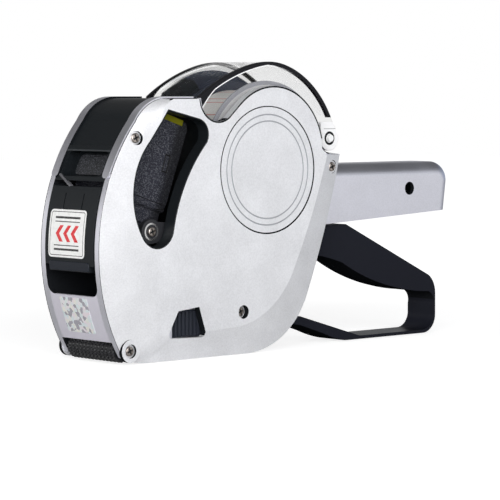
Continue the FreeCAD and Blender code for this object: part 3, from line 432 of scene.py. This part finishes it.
def square_edges(mesh):
    return [e for e in mesh.edges if e.calc_face_angle(0.0) > square_turn]


def in_metres(mesh):
    bmesh.ops.scale(mesh, vec=(MM, MM, MM), verts=mesh.verts)


fleck_scale, fleck_edge, fleck_colour = 2300.0, (0.50, 0.64), (0.085, 0.088, 0.102)


def light_flecks(place, coat):
    """Pale specks in dark plastic, about half a millimetre apart."""
    return place.noise(fleck_scale).blur(*fleck_edge).mix(coat, fleck_colour)


coarse = moulded("coarse_black", (0.010, 0.011, 0.013), 0.42, grain=1300, depth=0.20, mottle=0.8,
                 paint=light_flecks, Specular_IOR_Level=0.4)
pad_shape = nose_sheet(across=(-13.2, 9.2), up=(77.9, 86.4), radius=79.7, thick=0.95, corner=2.2,
                       edge=0.35)
piece("cover_pad", pad_shape, coarse, "body")
# The rib's paler grey is a painted highlight.
rib_highlight = moulded("rib_highlight_grey", (0.10, 0.10, 0.11), 0.25, grain=1500, depth=0.05, mottle=0.5)
rib_shape = nose_sheet(across=(3.9, 14.3), up=(75.35, 76.1), radius=83.7, thick=1.6, corner=0.3,
                       edge=0.25, turn=27.5)
piece("cover_rib", rib_shape, rib_highlight, "body")


# Ink cover. A flap in black plastic that swings out of the head's way and carries the foam ink
# roller on two side arms; a raised foot along its lower edge, and a printed label on its face.
flap_radius = 83.4      # of its face, round the nose's centre
foot_proud, label_thick = 0.45, 0.12
rounded("dressed_ink_cover", "ink_cover", 0.3, black, "ink_flap")
navy = moulded("navy_black", (0.012, 0.015, 0.022), 0.36, grain=3000, depth=0.01, mottle=0.1,
               Specular_IOR_Level=0.2)
foot_shape = nose_sheet(across=(-13.0, 13.0), up=(38.5, 42.4), radius=flap_radius + foot_proud,
                        thick=0.6, corner=1.0, edge=0.4)
piece("flap_foot", foot_shape, navy, "ink_flap")

label_across, label_up, label_corner = (-10.2, 13.5), (43.9, 63.7), 1.8
label_wide, label_high = label_across[1] - label_across[0], label_up[1] - label_up[0]
label_white, label_red, label_ink = (0.88, 0.88, 0.87), (0.68, 0.008, 0.015), (0.012, 0.012, 0.012)
border_line, thick_bar, thin_bar, bar_reach = (0.95, 0.14), (6.6, 0.45), (4.9, 0.2), 8.2
chevron_lean, chevron_pitch, chevron_stroke = 0.8, 5.0, 2.3
chevron_half, chevron_reach, chevron_start = 3.4, 7.4, 20.0
label_gloss, gloss_patch, patch_change = 0.28, 400.0, 0.2
printed, shader, place = new_finish("printed_label", label_gloss, Coat_Weight=0.3,
                                    Coat_Roughness=0.1)
_, y, z = place.mm()
across = y - 0.5 * sum(label_across)
up = z - 0.5 * sum(label_up)
out_across = (abs(across) - (0.5 * label_wide - label_corner)) | 0.0
out_up = (abs(up) - (0.5 * label_high - label_corner)) | 0.0
from_edge = label_corner - place.vector(out_across, out_up).length()
bars = (abs(up).near(*thick_bar) | abs(up).near(*thin_bar)) * (abs(across) < bar_reach)
slant = across + abs(up) * chevron_lean
chevrons = (((slant + chevron_start) % chevron_pitch < chevron_stroke)
            * (abs(up) < chevron_half) * (abs(slant) < chevron_reach))
print_colour = (from_edge.near(*border_line) | bars).mix(chevrons.mix(label_white, label_red),
                                                         label_ink)
feed(shader, Base_Color=print_colour,
     Roughness=(place.noise(gloss_patch) - 0.5) * patch_change + label_gloss)
label_shape = nose_sheet(across=label_across, up=label_up, radius=flap_radius + label_thick,
                         thick=label_thick, corner=label_corner)
piece("flap_label", label_shape, printed, "ink_flap")

foam = moulded("inked_foam", (0.006, 0.006, 0.014), 0.75, grain=1500, depth=0.2, mottle=0.3)
rounded("dressed_ink_roller", "ink_roller", 0.5, foam, "ink_roll")


# Cover latch. A ribbed slide in dark navy plastic between the two small lower windows, where a
# finger and thumb pull it.
latch_navy = moulded("latch_navy", (0.020, 0.023, 0.032), 0.4, grain=2500, depth=0.02, mottle=0.3,
                     Specular_IOR_Level=0.2)
rounded("dressed_cover_latch", "cover_latch", 0.2, latch_navy, "latch")


# Seal on the front panel. A square of thin pearly foil, printed with a mosaic of pale tints and
# stuck on the coat.
seal_radius, seal_thick = 83.1, 0.1
tile_scale, tile_gap, grey_tiles, tile_grey = 620.0, (0.00004, 0.00012), 0.28, (0.46, 0.45, 0.50)
foil, shader, place = new_finish("pearl_foil", 0.32, 0.35)
tiles = {"Vector": place, "Scale": tile_scale}
joint = place.node("TexVoronoi", {"feature": "DISTANCE_TO_EDGE"}, tiles)
tile = place.node("TexVoronoi", {}, tiles, out=1).axes()[0]
tint = tile.node("ValToRGB", {"stops": [
    (0.0, (0.80, 0.78, 0.84)), (0.3, (0.92, 0.82, 0.88)), (0.5, (0.92, 0.90, 0.92)),
    (0.7, (0.78, 0.88, 0.91)), (0.9, (0.93, 0.91, 0.84))]}, {0: tile})
pale = joint.blur(*tile_gap) * (tile > grey_tiles)
feed(shader, Base_Color=pale.mix(tile_grey, tint), Roughness=tile * 0.3 + 0.2)
seal_shape = nose_sheet(across=(-8.2, 9.8), up=(12.4, 27.2), radius=seal_radius, thick=seal_thick,
                        corner=0.8)
piece("front_seal", seal_shape, foil, "body")


# Applicator roller. Black rubber with thirteen toothed ribs, moulded on a tube that turns on a
# steel axle, which two screws hold.
rubber = moulded("roller_rubber", (0.010, 0.010, 0.012), 0.34, grain=1800, depth=0.008, mottle=0.1,
                 Specular_IOR_Level=0.6)
axle = (-93.2, 5.6)
roller_half, bore = 15.1, 2.05
ribs, rib_pitch, rib_wide, rib_out, rib_in = 13, 2.4, 1.4, 5.2, 4.4
rib_profile = ((-0.5, rib_in), (-0.35, rib_out), (0.35, rib_out), (0.5, rib_in))
teeth, tooth_deep, tooth_steps, gap_steps = 22, 0.5, 4, (0, 1)
mesh = bmesh.new()
profile = [(-roller_half, bore)]
for n in range(ribs):
    middle = (n - 0.5 * (ribs - 1)) * rib_pitch
    profile += [(middle + offset * rib_wide, r) for offset, r in rib_profile]
profile.append((roller_half, bore))
rail = [mesh.verts.new((axle[0] + r, y, axle[1])) for y, r in profile]
for a, b in zip(rail, rail[1:] + rail[:1]):
    mesh.edges.new((a, b))
bmesh.ops.spin(mesh, geom=mesh.verts[:] + mesh.edges[:], cent=(axle[0], 0, axle[1]), axis=(0, 1, 0),
               angle=2 * math.pi, steps=tooth_steps * teeth, use_merge=True)
for v in mesh.verts:
    arm = Vector((v.co.x - axle[0], 0.0, v.co.z - axle[1]))
    step = round(math.atan2(arm.z, arm.x) / (2 * math.pi) * tooth_steps * teeth)
    if arm.length > rib_out - 0.05 and step % tooth_steps in gap_steps:
        v.co -= arm.normalized() * tooth_deep
bmesh.ops.recalc_face_normals(mesh, faces=mesh.faces)
in_metres(mesh)
roller = piece("ribbed_applicator", mesh, rubber, "applicator", "applicator_roller", smooth=25.0)


# Label roll, core, holders and backing strip. Paper wound on a card core, printed with thin red
# rules, held between two grey flanges, and led down to the platen.
roll_axis, roll_radius, roll_edge = (-9.5, 81.5), 31.5, 10.6
label_pitch, label_rules, rule_half, rule_start = 11.0, (2.0, 5.0), 0.28, 300.0
end_dark, end_pale, rule_red = (0.78, 0.75, 0.70), (0.90, 0.88, 0.84), (0.72, 0.16, 0.12)
turn_scale, turn_edge, rule_strength = 0.9, (0.35, 0.65), 0.7


def paper_marks(place, coat):
    """Red rules across the outside of the roll, and the edges of its turns on its ends."""
    x, y, z = place.mm()
    angle = place.math("ARCTAN2", z - roll_axis[1], x - roll_axis[0])
    along = (angle * roll_radius + rule_start) % label_pitch
    rules = ((along.near(label_rules[0], rule_half) | along.near(label_rules[1], rule_half))
             * (abs(y) < roll_edge))
    turns = place.vector(place.from_line(roll_axis) * turn_scale).noise(3.0, 4.0).blur(*turn_edge)
    ends = (abs(y) > roll_edge).mix(coat, turns.mix(end_dark, end_pale))
    return (rules * rule_strength).mix(ends, rule_red)


rolled = moulded("label_paper", (0.90, 0.89, 0.87), 0.55, grain=900, depth=0.02, mottle=0.05,
                 paint=paper_marks)
rounded("dressed_label_roll", "label_roll", 0.15, rolled, "roll")
backing = moulded("backing_paper", (0.62, 0.56, 0.44), 0.45, grain=900, depth=0.02, mottle=0.08)
rounded("dressed_label_strip", "label_strip", 0.0, backing, "body")
card = moulded("core_card", (0.45, 0.36, 0.26), 0.8, grain=700, depth=0.05, mottle=0.15)
rounded("dressed_core", "label_core", 0.2, card, "roll")
holder_rim, holder_pale, holder_navy = 33.8, (0.74, 0.74, 0.76), (0.030, 0.036, 0.055)


def holder_marks(place, coat):
    """The near holder is pale with a grey rim, the far one navy."""
    near_face = (place.from_line(roll_axis) < holder_rim).mix(coat, holder_pale)
    return (place.mm()[1] > 0.0).mix(near_face, holder_navy)


grey = moulded("holder_grey", (0.40, 0.405, 0.45), 0.4, grain=2500, depth=0.01, paint=holder_marks)
for side in ("left", "right"):
    holder = rounded("dressed_%s_holder" % side, side + "_roll_holder", 0.25, grey, "body")


# Partition between the head's bay and the roll's bay. A thin black wall that stands between the side
# walls, in front of the strip, a dark sheet put there so that the bay behind the head shows as
# shade.
bay_half, rail_half = 15.6, 12.2        # half its width between the walls, and between the rails
wall_steps = [((-50.5, 105.5), bay_half), ((-48.0, 92.0), bay_half), ((-47.0, 80.0), bay_half),
              ((-48.6, 73.0), bay_half), ((-52.6, 64.0), bay_half), ((-53.5, 62.0), rail_half),
              ((-63.4, 40.0), rail_half)]
mesh = bmesh.new()
for sign in (-1, 1):
    for (x, z), half in wall_steps:
        mesh.verts.new((x, sign * half, z))
mesh.verts.ensure_lookup_table()
count = len(wall_steps)
for n in range(count - 1):
    mesh.faces.new([mesh.verts[i] for i in (n, n + 1, n + 1 + count, n + count)])
# The faces have no normals here, so this gives the wall its second face but no thickness.
bmesh.ops.solidify(mesh, geom=mesh.faces[:], thickness=1.0)
bmesh.ops.recalc_face_normals(mesh, faces=mesh.faces)
in_metres(mesh)
# A black sheet standing in for shade behind the head.
piece("shade_partition", mesh, black, "body")


# Guard behind the roll. A curved navy plate on the right wall, in one line with the roll guide; it
# keeps the roll's far edge from the wall and follows the inside of the clear cover.
guard_centre, guard_rims = (-15.65, 80.28), (31.0, 41.5)
guard_inner, guard_outer = 15.3, 15.85      # its two faces, from the middle plane
guard_from, guard_to = math.radians(122.5), math.radians(47.0)      # its ends, up from the rear
navy_plate = moulded("guard_navy", (0.030, 0.036, 0.056), 0.45, grain=2500, depth=0.01, mottle=0.15,
                     Specular_IOR_Level=0.2)
mesh = bmesh.new()
mesh.edges.new([mesh.verts.new((guard_centre[0] + r * math.cos(guard_from), guard_inner,
                                guard_centre[1] + r * math.sin(guard_from))) for r in guard_rims])
bmesh.ops.spin(mesh, geom=mesh.verts[:] + mesh.edges[:], cent=(guard_centre[0], 0, guard_centre[1]),
               axis=(0, 1, 0), angle=guard_from - guard_to, steps=24)
bmesh.ops.solidify(mesh, geom=mesh.faces[:], thickness=guard_outer - guard_inner)
bmesh.ops.recalc_face_normals(mesh, faces=mesh.faces)
low = min(v.co.y for v in mesh.verts)
bmesh.ops.translate(mesh, vec=(0, guard_inner - low, 0), verts=mesh.verts)
round_edges(mesh, square_edges(mesh), width=0.15, segments=2)
in_metres(mesh)
piece("roll_guard", mesh, navy_plate, "body")


# Peg of the roll guide. A short black pin with a rounded end, moulded on the right wall, that
# fills the hole of the guide and holds it.
peg_radius, peg_long, peg_middle = 1.5, 1.4, (-38.4, 14.4, 111.4)
mesh = bmesh.new()
bmesh.ops.create_cone(mesh, cap_ends=True, segments=32, radius1=peg_radius, radius2=peg_radius,
                      depth=peg_long)
round_edges(mesh, square_edges(mesh), width=0.4, segments=3)
crosswise = Matrix.Rotation(0.5 * math.pi, 3, "X")
bmesh.ops.rotate(mesh, cent=(0, 0, 0), matrix=crosswise, verts=mesh.verts)
bmesh.ops.translate(mesh, vec=peg_middle, verts=mesh.verts)
in_metres(mesh)
piece("guide_peg", mesh, black, "body")


# Clear cover over the roll. One moulding in clear plastic with white ears, hinged on two pins
# behind; painted shade darkens its arched edges, a band of its skin at the front and a crease on the
# ears, and a painted highlight runs inside the near edge.
def circle_through(a, b, c):
    """Centre and radius of the circle through three side-view points."""
    d = 2 * (a[0] * (b[1] - c[1]) + b[0] * (c[1] - a[1]) + c[0] * (a[1] - b[1]))
    squares = [p[0] ** 2 + p[1] ** 2 for p in (a, b, c)]
    x = sum(s * (q[1] - r[1]) for s, q, r in zip(squares, (b, c, a), (c, a, b))) / d
    z = sum(s * (r[0] - q[0]) for s, q, r in zip(squares, (b, c, a), (c, a, b))) / d
    return (x, z), math.dist((x, z), a)


cover_front, cover_top, cover_rear = (-52.5, 110.3), (-13.5, 125.8), (24.3, 102.2)
front_arc = circle_through(cover_front, (-36.0, 119.6), cover_top)
rear_arc = circle_through(cover_top, (10.5, 117.6), cover_rear)
hinge, hinge_line = (23.9, 91.8), (2.5, 0.55)
cheek, skin_thick = 17.6, 1.7       # outside of the cheeks from the middle plane, and the wall
lip_foot, near_lip, far_lip = 101.0, (1.65, 1.9), (1.5, 1.6)        # wide across, deep inward
skin_shade_front, skin_shade_rear, skin_shade_top = (-47.0, -40.0), (-26.0, -12.0), (117.6, 121.5)
ear_front, ear_top, ear_roughness, ear_gloss = 18.4, 99.0, 0.35, 0.15
crease_line, crease_front, crease_dark = (96.0, 0.16), 20.4, 0.5
gleam_line, gleam_fade, gleam_skin = (2.15, 0.22), (-20.0, 6.0), 0.2
cheek_alpha, skin_alpha, skin_shade_alpha = 0.14, 0.16, 0.4
cheek_clear, skin_clear, skin_shade_grey = (0.16, 0.16, 0.14), (0.95, 0.95, 0.95), (0.40, 0.40, 0.44)
ear_and_gleam_white, edge_shade_black = (0.90, 0.90, 0.91), (0.006, 0.006, 0.008)
clear, shader, place = new_finish("clear_plastic", 0.03, Transmission_Weight=1.0, IOR=1.02,
                                  Coat_Weight=0.7, Coat_Roughness=0.03)
x, y, z = place.mm()
depth = (front_arc[1] - place.from_line(front_arc[0])) & (rear_arc[1] - place.from_line(rear_arc[0]))
skin = (depth < skin_thick) * (abs(y) < cheek - skin_thick)
# Painted shade: a grey band in the skin at the front, where the inside shows dark.
skin_shade = skin * x.blur(*skin_shade_front) * (1.0 - x.blur(*skin_shade_rear)) * (1.0 - z.blur(*skin_shade_top))
feed(shader, Base_Color=skin_shade.mix(skin.mix(cheek_clear, skin_clear), skin_shade_grey),
     Alpha=skin_shade * skin_shade_alpha + skin * skin_alpha + cheek_alpha)
# Painted shade: the arched edges of both cheeks are black.
edge_shade = ((y < near_lip[0] - cheek) * (depth < near_lip[1])
       | (y > cheek - far_lip[0]) * (depth < far_lip[1])) * (z > lip_foot)
ring = place.from_line(hinge).near(*hinge_line)
tab = (x > ear_front) * (z < ear_top)
# Painted shade along a crease on the ears.
crease_shade = z.near(*crease_line) * (x > crease_front) * crease_dark
# Painted highlight: a thin white line inside the near edge, fading towards the rear.
gleam = ((y < gleam_skin - cheek) * depth.near(*gleam_line) * (z > lip_foot)
         * (1.0 - x.blur(*gleam_fade)))
over(shader, edge_shade | tab | gleam, (edge_shade | ring | crease_shade).mix(ear_and_gleam_white, edge_shade_black), ear_roughness,
     ear_gloss)
cover = rounded("dressed_roll_cover", "roll_cover", 0.3, clear, "top_cover")
crown_reach, crown_drop = 12.0, 0.52    # the two arches flow into each other over this length
crown_foot, crown_cuts = 116.0, 6
crown = bmesh.new()
crown.from_mesh(cover.data)
for n in range(-crown_cuts, crown_cuts + 1):
    cut_x = cover_top[0] + n * crown_reach / (crown_cuts + 0.5)
    cut_at(crown, (MM * cut_x, 0, 0), (1, 0, 0), 0.001 * MM)
for v in crown.verts:
    share = abs(v.co.x / MM - cover_top[0]) / crown_reach
    if v.co.z > crown_foot * MM and share < 1.0:
        v.co.z -= crown_drop * MM * (1.0 - share) ** 2
crown.to_mesh(cover.data)
crown.free()


# Hand lever. A closed loop in blue-black plastic on the pivot shaft, with generously rounded
# edges where the fingers pull.
down_facing = -0.25     # a surface that looks further down than this is an underside


def shaded_undersides(place, coat):
    """Painted shade: surfaces that look down are dark and matt, without gloss."""
    return coat, place.facing()[2] < down_facing


lever_black = moulded("lever_black", (0.011, 0.012, 0.018), 0.36, grain=3000, depth=0.012,
                      mottle=0.08, paint=shaded_undersides, Specular_IOR_Level=0.07)
lever = rounded("dressed_lever", "hand_lever", 1.6, lever_black, "lever", segments=4)


# Print yoke, return spring, shafts, pins and peel plate. Pressed, wound and turned steel, with
# the yoke blackened and the pins of the clear cover enamelled white.
steel = moulded("pressed_steel", (0.50, 0.50, 0.51), 0.32, grain=1200, depth=0.01, mottle=0.08,
                metallic=1.0)
blackened = moulded("blackened_steel", (0.030, 0.031, 0.036), 0.42, grain=1500, depth=0.01,
                    mottle=0.3, metallic=0.4)
pin_steel = moulded("ground_steel", (0.62, 0.62, 0.62), 0.22, grain=1500, depth=0.004, metallic=1.0)
pale_pin = moulded("pin_enamel", (0.86, 0.86, 0.87), 0.3, grain=1500, depth=0.004)
for node, body, width, metal in (("print_yoke", "lever", 0.3, blackened),
                                 ("peel_plate", "body", 0.1, steel)):
    rounded("dressed_" + node, node, width, metal, body)
spring = rounded("dressed_return_spring", "return_spring", 0.0, steel, "body")
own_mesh(spring)
for node, body in (("pivot_shaft", "body"), ("drive_pin", "lever"), ("selector_shaft", "selector"),
                   ("feed_shaft", "body"), ("ink_shaft", "ink_flap"), ("applicator_axle", "body"),
                   ("door_pins", "body")):
    rounded("dressed_" + node, node, 0.15, pin_steel, body)
rounded("dressed_cover_pins", "cover_hinge_pins", 0.15, pale_pin, "body")


# Print head, wheels and knob. The casing and side plates are black with a coarse spark texture and a
# yellow marker strip across the top, with painted shade in the plates' sunk outline and notch lines
# and a painted darkening towards the rear; the belts are rubber, on wheels of pale hard plastic.
shade_lean, shade_edge, shade_share = 0.33, (-99.0, -93.0), 0.75
notch_shade_lines, notch_shade_half, notch_shade_rear = (63.3, 61.8), 0.22, -68.0
plate_inside, plate_outline = 14.8, (15.1, 0.2)
plate_shade_black = (0.002, 0.002, 0.002)


def plate_flecks_and_shade(place, coat):
    """Flecks, with painted shade: the sunk outline, two lines at the notch above the lug, and a
    darkening towards the rear.
    """
    x, y, z = place.mm()
    shade = (x - z * shade_lean).blur(*shade_edge) * shade_share
    notch_shade = ((z.near(notch_shade_lines[0], notch_shade_half) | z.near(notch_shade_lines[1], notch_shade_half))
              * (abs(y) > plate_inside) * (x < notch_shade_rear))
    painted_plate_shade = abs(y).near(*plate_outline) | notch_shade | shade
    return painted_plate_shade.mix(light_flecks(place, coat), plate_shade_black)


textured = moulded("textured_black", (0.017, 0.018, 0.026), 0.5, grain=1500, depth=0.10, mottle=1.0,
                   paint=plate_flecks_and_shade, Specular_IOR_Level=0.15)
for node in ("head_casing", "left_head_plate", "right_head_plate", "print_bar"):
    rounded("dressed_" + node, node, 0.3, textured, "lever")
yellow = moulded("marker_yellow", (0.125, 0.122, 0.004), 0.5, grain=1500, depth=0.02, mottle=0.15,
                 Specular_IOR_Level=0.1)
rounded("dressed_marker", "marker_strip", 0.15, yellow, "lever")
belt = moulded("belt_rubber", (0.03, 0.03, 0.03), 0.6, grain=1200, depth=0.05)
rounded("dressed_bands", "type_bands", 0.1, belt, "lever")
acetal = moulded("acetal", (0.72, 0.71, 0.66), 0.35, grain=1500, depth=0.01)
for node, body in (("band_wheels", "lever"), ("units_wheel", "units"), ("feed_wheel", "feeder")):
    rounded("dressed_" + node, node, 0.15, acetal, body)
knob_black = moulded("knob_black", (0.02, 0.022, 0.030), 0.4, grain=2500, depth=0.02)
rounded("dressed_knob", "selector_knob", 0.2, knob_black, "knob")


# Screws. Small pan heads with a cross recess, steel with a zinc plating, each driven to the bottom
# of its hole; the recess is black, painted shade.
plated = moulded("plated_screw", (0.42, 0.375, 0.345), 0.30, grain=1500, depth=0.01, mottle=0.3,
                 metallic=1.0)
head_radius, head_high, shank, shank_long = 2.05, 0.85, 1.45, 2.5
cross_wide, cross_long, cross_deep, cross_taper, cross_turn = 0.42, 1.55, 0.7, 0.85, 0.35
wall_floor, plate_face = 19.6, 15.4     # bottoms of the screw holes, from the middle plane
lug = (-77.4, 54.1)


def add_screw(mesh, spot, side, floor):
    """One screw on a side-view spot; its head rises from a floor, away from the middle plane."""
    part = bmesh.new()
    bmesh.ops.create_cone(part, cap_ends=True, segments=32, radius1=head_radius, radius2=head_radius,
                          depth=head_high)
    rim = [e for e in part.edges if all(v.co.z > 0 for v in e.verts)]
    round_edges(part, rim, width=0.5 * head_high, segments=4)
    for normal in ((1, 0, 0), (0, 1, 0)):
        for reach in (-cross_long, -cross_wide, cross_wide, cross_long):
            cut_at(part, [reach * n for n in normal], normal, cut_gap)
    cross = []
    for face in part.faces:
        middle = face.calc_center_median()
        arms = sorted((abs(middle.x), abs(middle.y)))
        if face.normal.z > 0.9 and middle.z > 0 and arms[0] < cross_wide and arms[1] < cross_long:
            cross.append(face)
    # The faces of the recess take the second material, black, as painted shade.
    sunk = bmesh.ops.extrude_face_region(part, geom=cross)
    for item in sunk["geom"]:
        if isinstance(item, bmesh.types.BMFace):
            item.material_index = 1
    pit = [v for v in sunk["geom"] if isinstance(v, bmesh.types.BMVert)]
    bmesh.ops.delete(part, geom=cross, context="FACES")
    bmesh.ops.translate(part, vec=(0, 0, -cross_deep), verts=pit)
    bmesh.ops.scale(part, vec=(cross_taper, cross_taper, 1.0), verts=pit)
    bmesh.ops.translate(part, vec=(0, 0, 0.5 * head_high), verts=part.verts)
    stem = bmesh.ops.create_cone(part, cap_ends=True, segments=16, radius1=shank, radius2=shank,
                                 depth=shank_long)
    bmesh.ops.translate(part, vec=(0, 0, -0.5 * shank_long), verts=stem["verts"])
    bmesh.ops.rotate(part, cent=(0, 0, 0), matrix=Matrix.Rotation(cross_turn, 3, "Z"),
                     verts=part.verts)
    bmesh.ops.rotate(part, cent=(0, 0, 0), matrix=Matrix.Rotation(-side * 0.5 * math.pi, 3, "X"),
                     verts=part.verts)
    bmesh.ops.translate(part, vec=(spot[0], side * floor, spot[1]), verts=part.verts)
    in_metres(part)
    whole = bpy.data.meshes.new("screw")
    part.to_mesh(whole)
    part.free()
    mesh.from_mesh(whole)
    bpy.data.meshes.remove(whole)


for node, body, spots, floor in (
        ("case_screws", "body", ((-89.68, 93.3), (-31.8, 18.3), (23.0, 79.3)), wall_floor),
        ("axle_screws", "body", (axle,), wall_floor),
        ("head_screws", "lever", (lug,), plate_face)):
    mesh = bmesh.new()
    for side in (-1, 1):
        for spot in spots:
            add_screw(mesh, spot, side, floor)
    screws = piece("cross_" + node, mesh, plated, body, node)
    # The second material, black, is the painted shade of the cross recess.
    screws.data.materials.append(black)


# Washers of the head's lugs. A bright steel ring on each side plate of the head, clamped under its
# lug screw.
washer_out, washer_in, washer_thick = 3.7, 3.0, 0.3
mesh = bmesh.new()
for side in (-1, 1):
    ring = bmesh.ops.create_circle(mesh, cap_ends=False, segments=48, radius=washer_out)
    outline = list(dict.fromkeys(e for v in ring["verts"] for e in v.link_edges))
    wall = bmesh.ops.extrude_edge_only(mesh, edges=outline)
    inner_ring = [v for v in wall["geom"] if isinstance(v, bmesh.types.BMVert)]
    narrower = washer_in / washer_out
    bmesh.ops.scale(mesh, vec=(narrower, narrower, 1.0), verts=inner_ring)
    both = ring["verts"] + inner_ring
    bmesh.ops.rotate(mesh, cent=(0, 0, 0), matrix=crosswise, verts=both)
    bmesh.ops.translate(mesh, vec=(lug[0], side * (plate_face + 0.05), lug[1]), verts=both)
bmesh.ops.solidify(mesh, geom=mesh.faces[:], thickness=washer_thick)
bmesh.ops.recalc_face_normals(mesh, faces=mesh.faces)
in_metres(mesh)
piece("lug_washers", mesh, pin_steel, "lever")


# Floor, world, lamps and camera. A plain pale floor that keeps the object's shadow, an even pale
# studio that the camera, metal and glass see as white, large soft lamps, and the first view.
def rays(wire):
    """1 for a ray from the camera, for one through glass, and for one in a reflection."""
    outputs = wire.node("LightPath").socket.node.outputs
    return [Wire(wire.tree, outputs["Is %s Ray" % kind])
            for kind in ("Camera", "Transmission", "Glossy")]


floor_half, floor_drop = 2.5, 0.0004        # metres
nothing, white = (0.0, 0.0, 0.0), (1.0, 1.0, 1.0)
floor_paint, shader, place = new_finish("white_floor", 0.6, Specular_IOR_Level=0.0,
                                        Base_Color=(0.50, 0.50, 0.50, 1.0), Emission_Strength=1.0)
camera_ray, through_ray, glossy_ray = rays(place)
away = place.length().blur(0.1, 0.5)
x, y, _ = place.axes()
front_floor = (0.0 - (x & y)).blur(0.1, 0.5) | y.blur(0.3, 0.7)
seen = (camera_ray | through_ray) * (away * 0.2 + 0.8)
mirrored = glossy_ray * (front_floor * 0.7 + 0.15)
feed(shader, Emission_Color=(seen | mirrored).mix(nothing, white))
sheet = bmesh.new()
bmesh.ops.create_grid(sheet, x_segments=1, y_segments=1, size=floor_half)
floor_mesh = bpy.data.meshes.new("floor")
sheet.to_mesh(floor_mesh)
sheet.free()
floor_mesh.materials.append(floor_paint)
floor = bpy.data.objects.new("floor", floor_mesh)
floor.location.z = -floor_drop
bpy.context.scene.collection.objects.link(floor)

world = bpy.data.worlds.new("studio")
bpy.context.scene.world = world
world.use_nodes = True
sky = Wire(world.node_tree)
camera_ray, through_ray, glossy_ray = rays(sky)
across, along, height = sky.node("TexCoord", out=0).axes()
ceiling = height.blur(0.12, 0.55)
rear = across.blur(0.62, 0.98)          # the studio is dimmer and bluer behind the object
card = across.blur(0.25, 0.55) * along.blur(0.40, 0.68)     # and has a dark card at the far right
falloff = (1.0 - ceiling) * (1.0 - rear * 0.75) * (1.0 - card * 0.9)
mirrored = glossy_ray * (falloff * 0.9 + 0.1) | through_ray * ((1.0 - ceiling) * 0.95 + 0.05)
level = camera_ray | mirrored | (1.0 - ceiling) * 0.50 + 0.08
tint = (rear * (1.0 - camera_ray)).mix(white, (0.70, 0.80, 1.0))
backdrop = world.node_tree.nodes["Background"]
world.node_tree.links.new(level.socket, backdrop.inputs["Strength"])
world.node_tree.links.new(tint.socket, backdrop.inputs["Color"])


def lamp(name, place, target, size, power):
    """A soft rectangular lamp that faces a point."""
    light = bpy.data.lights.new(name, "AREA")
    light.shape = "RECTANGLE"
    light.size, light.size_y = size
    light.energy = power
    made = bpy.data.objects.new(name, light)
    made.matrix_world = facing_matrix(Vector(place), Vector(target) - Vector(place))
    bpy.context.scene.collection.objects.link(made)


def facing_matrix(place, way):
    """Puts a lamp or the camera at a place, turned along a direction."""
    return Matrix.Translation(place) @ way.to_track_quat("-Z", "Y").to_matrix().to_4x4()


lamp("key_lamp", place=(-0.64, -0.76, 0.25), target=(-0.02, 0.0, 0.06), size=(1.1, 0.8), power=16.0)
lamp("top_lamp", place=(0.1, 0.5, 1.1), target=(0.0, 0.0, 0.05), size=(0.9, 0.7), power=1.0)

camera_data = bpy.data.cameras.new("camera")
camera_data.lens = 175.25
camera_data.sensor_width = 36.0
camera_data.sensor_fit = "HORIZONTAL"
camera_data.clip_end = 50.0
camera = bpy.data.objects.new("camera", camera_data)
camera_place = Vector((-0.73041, -0.78879, 0.11137))
camera_way = Vector((0.6742, 0.7358, -0.0640))
camera.matrix_world = facing_matrix(camera_place, camera_way)
bpy.context.scene.collection.objects.link(camera)
bpy.context.scene.camera = camera
bpy.context.scene.view_settings.view_transform = "Standard"
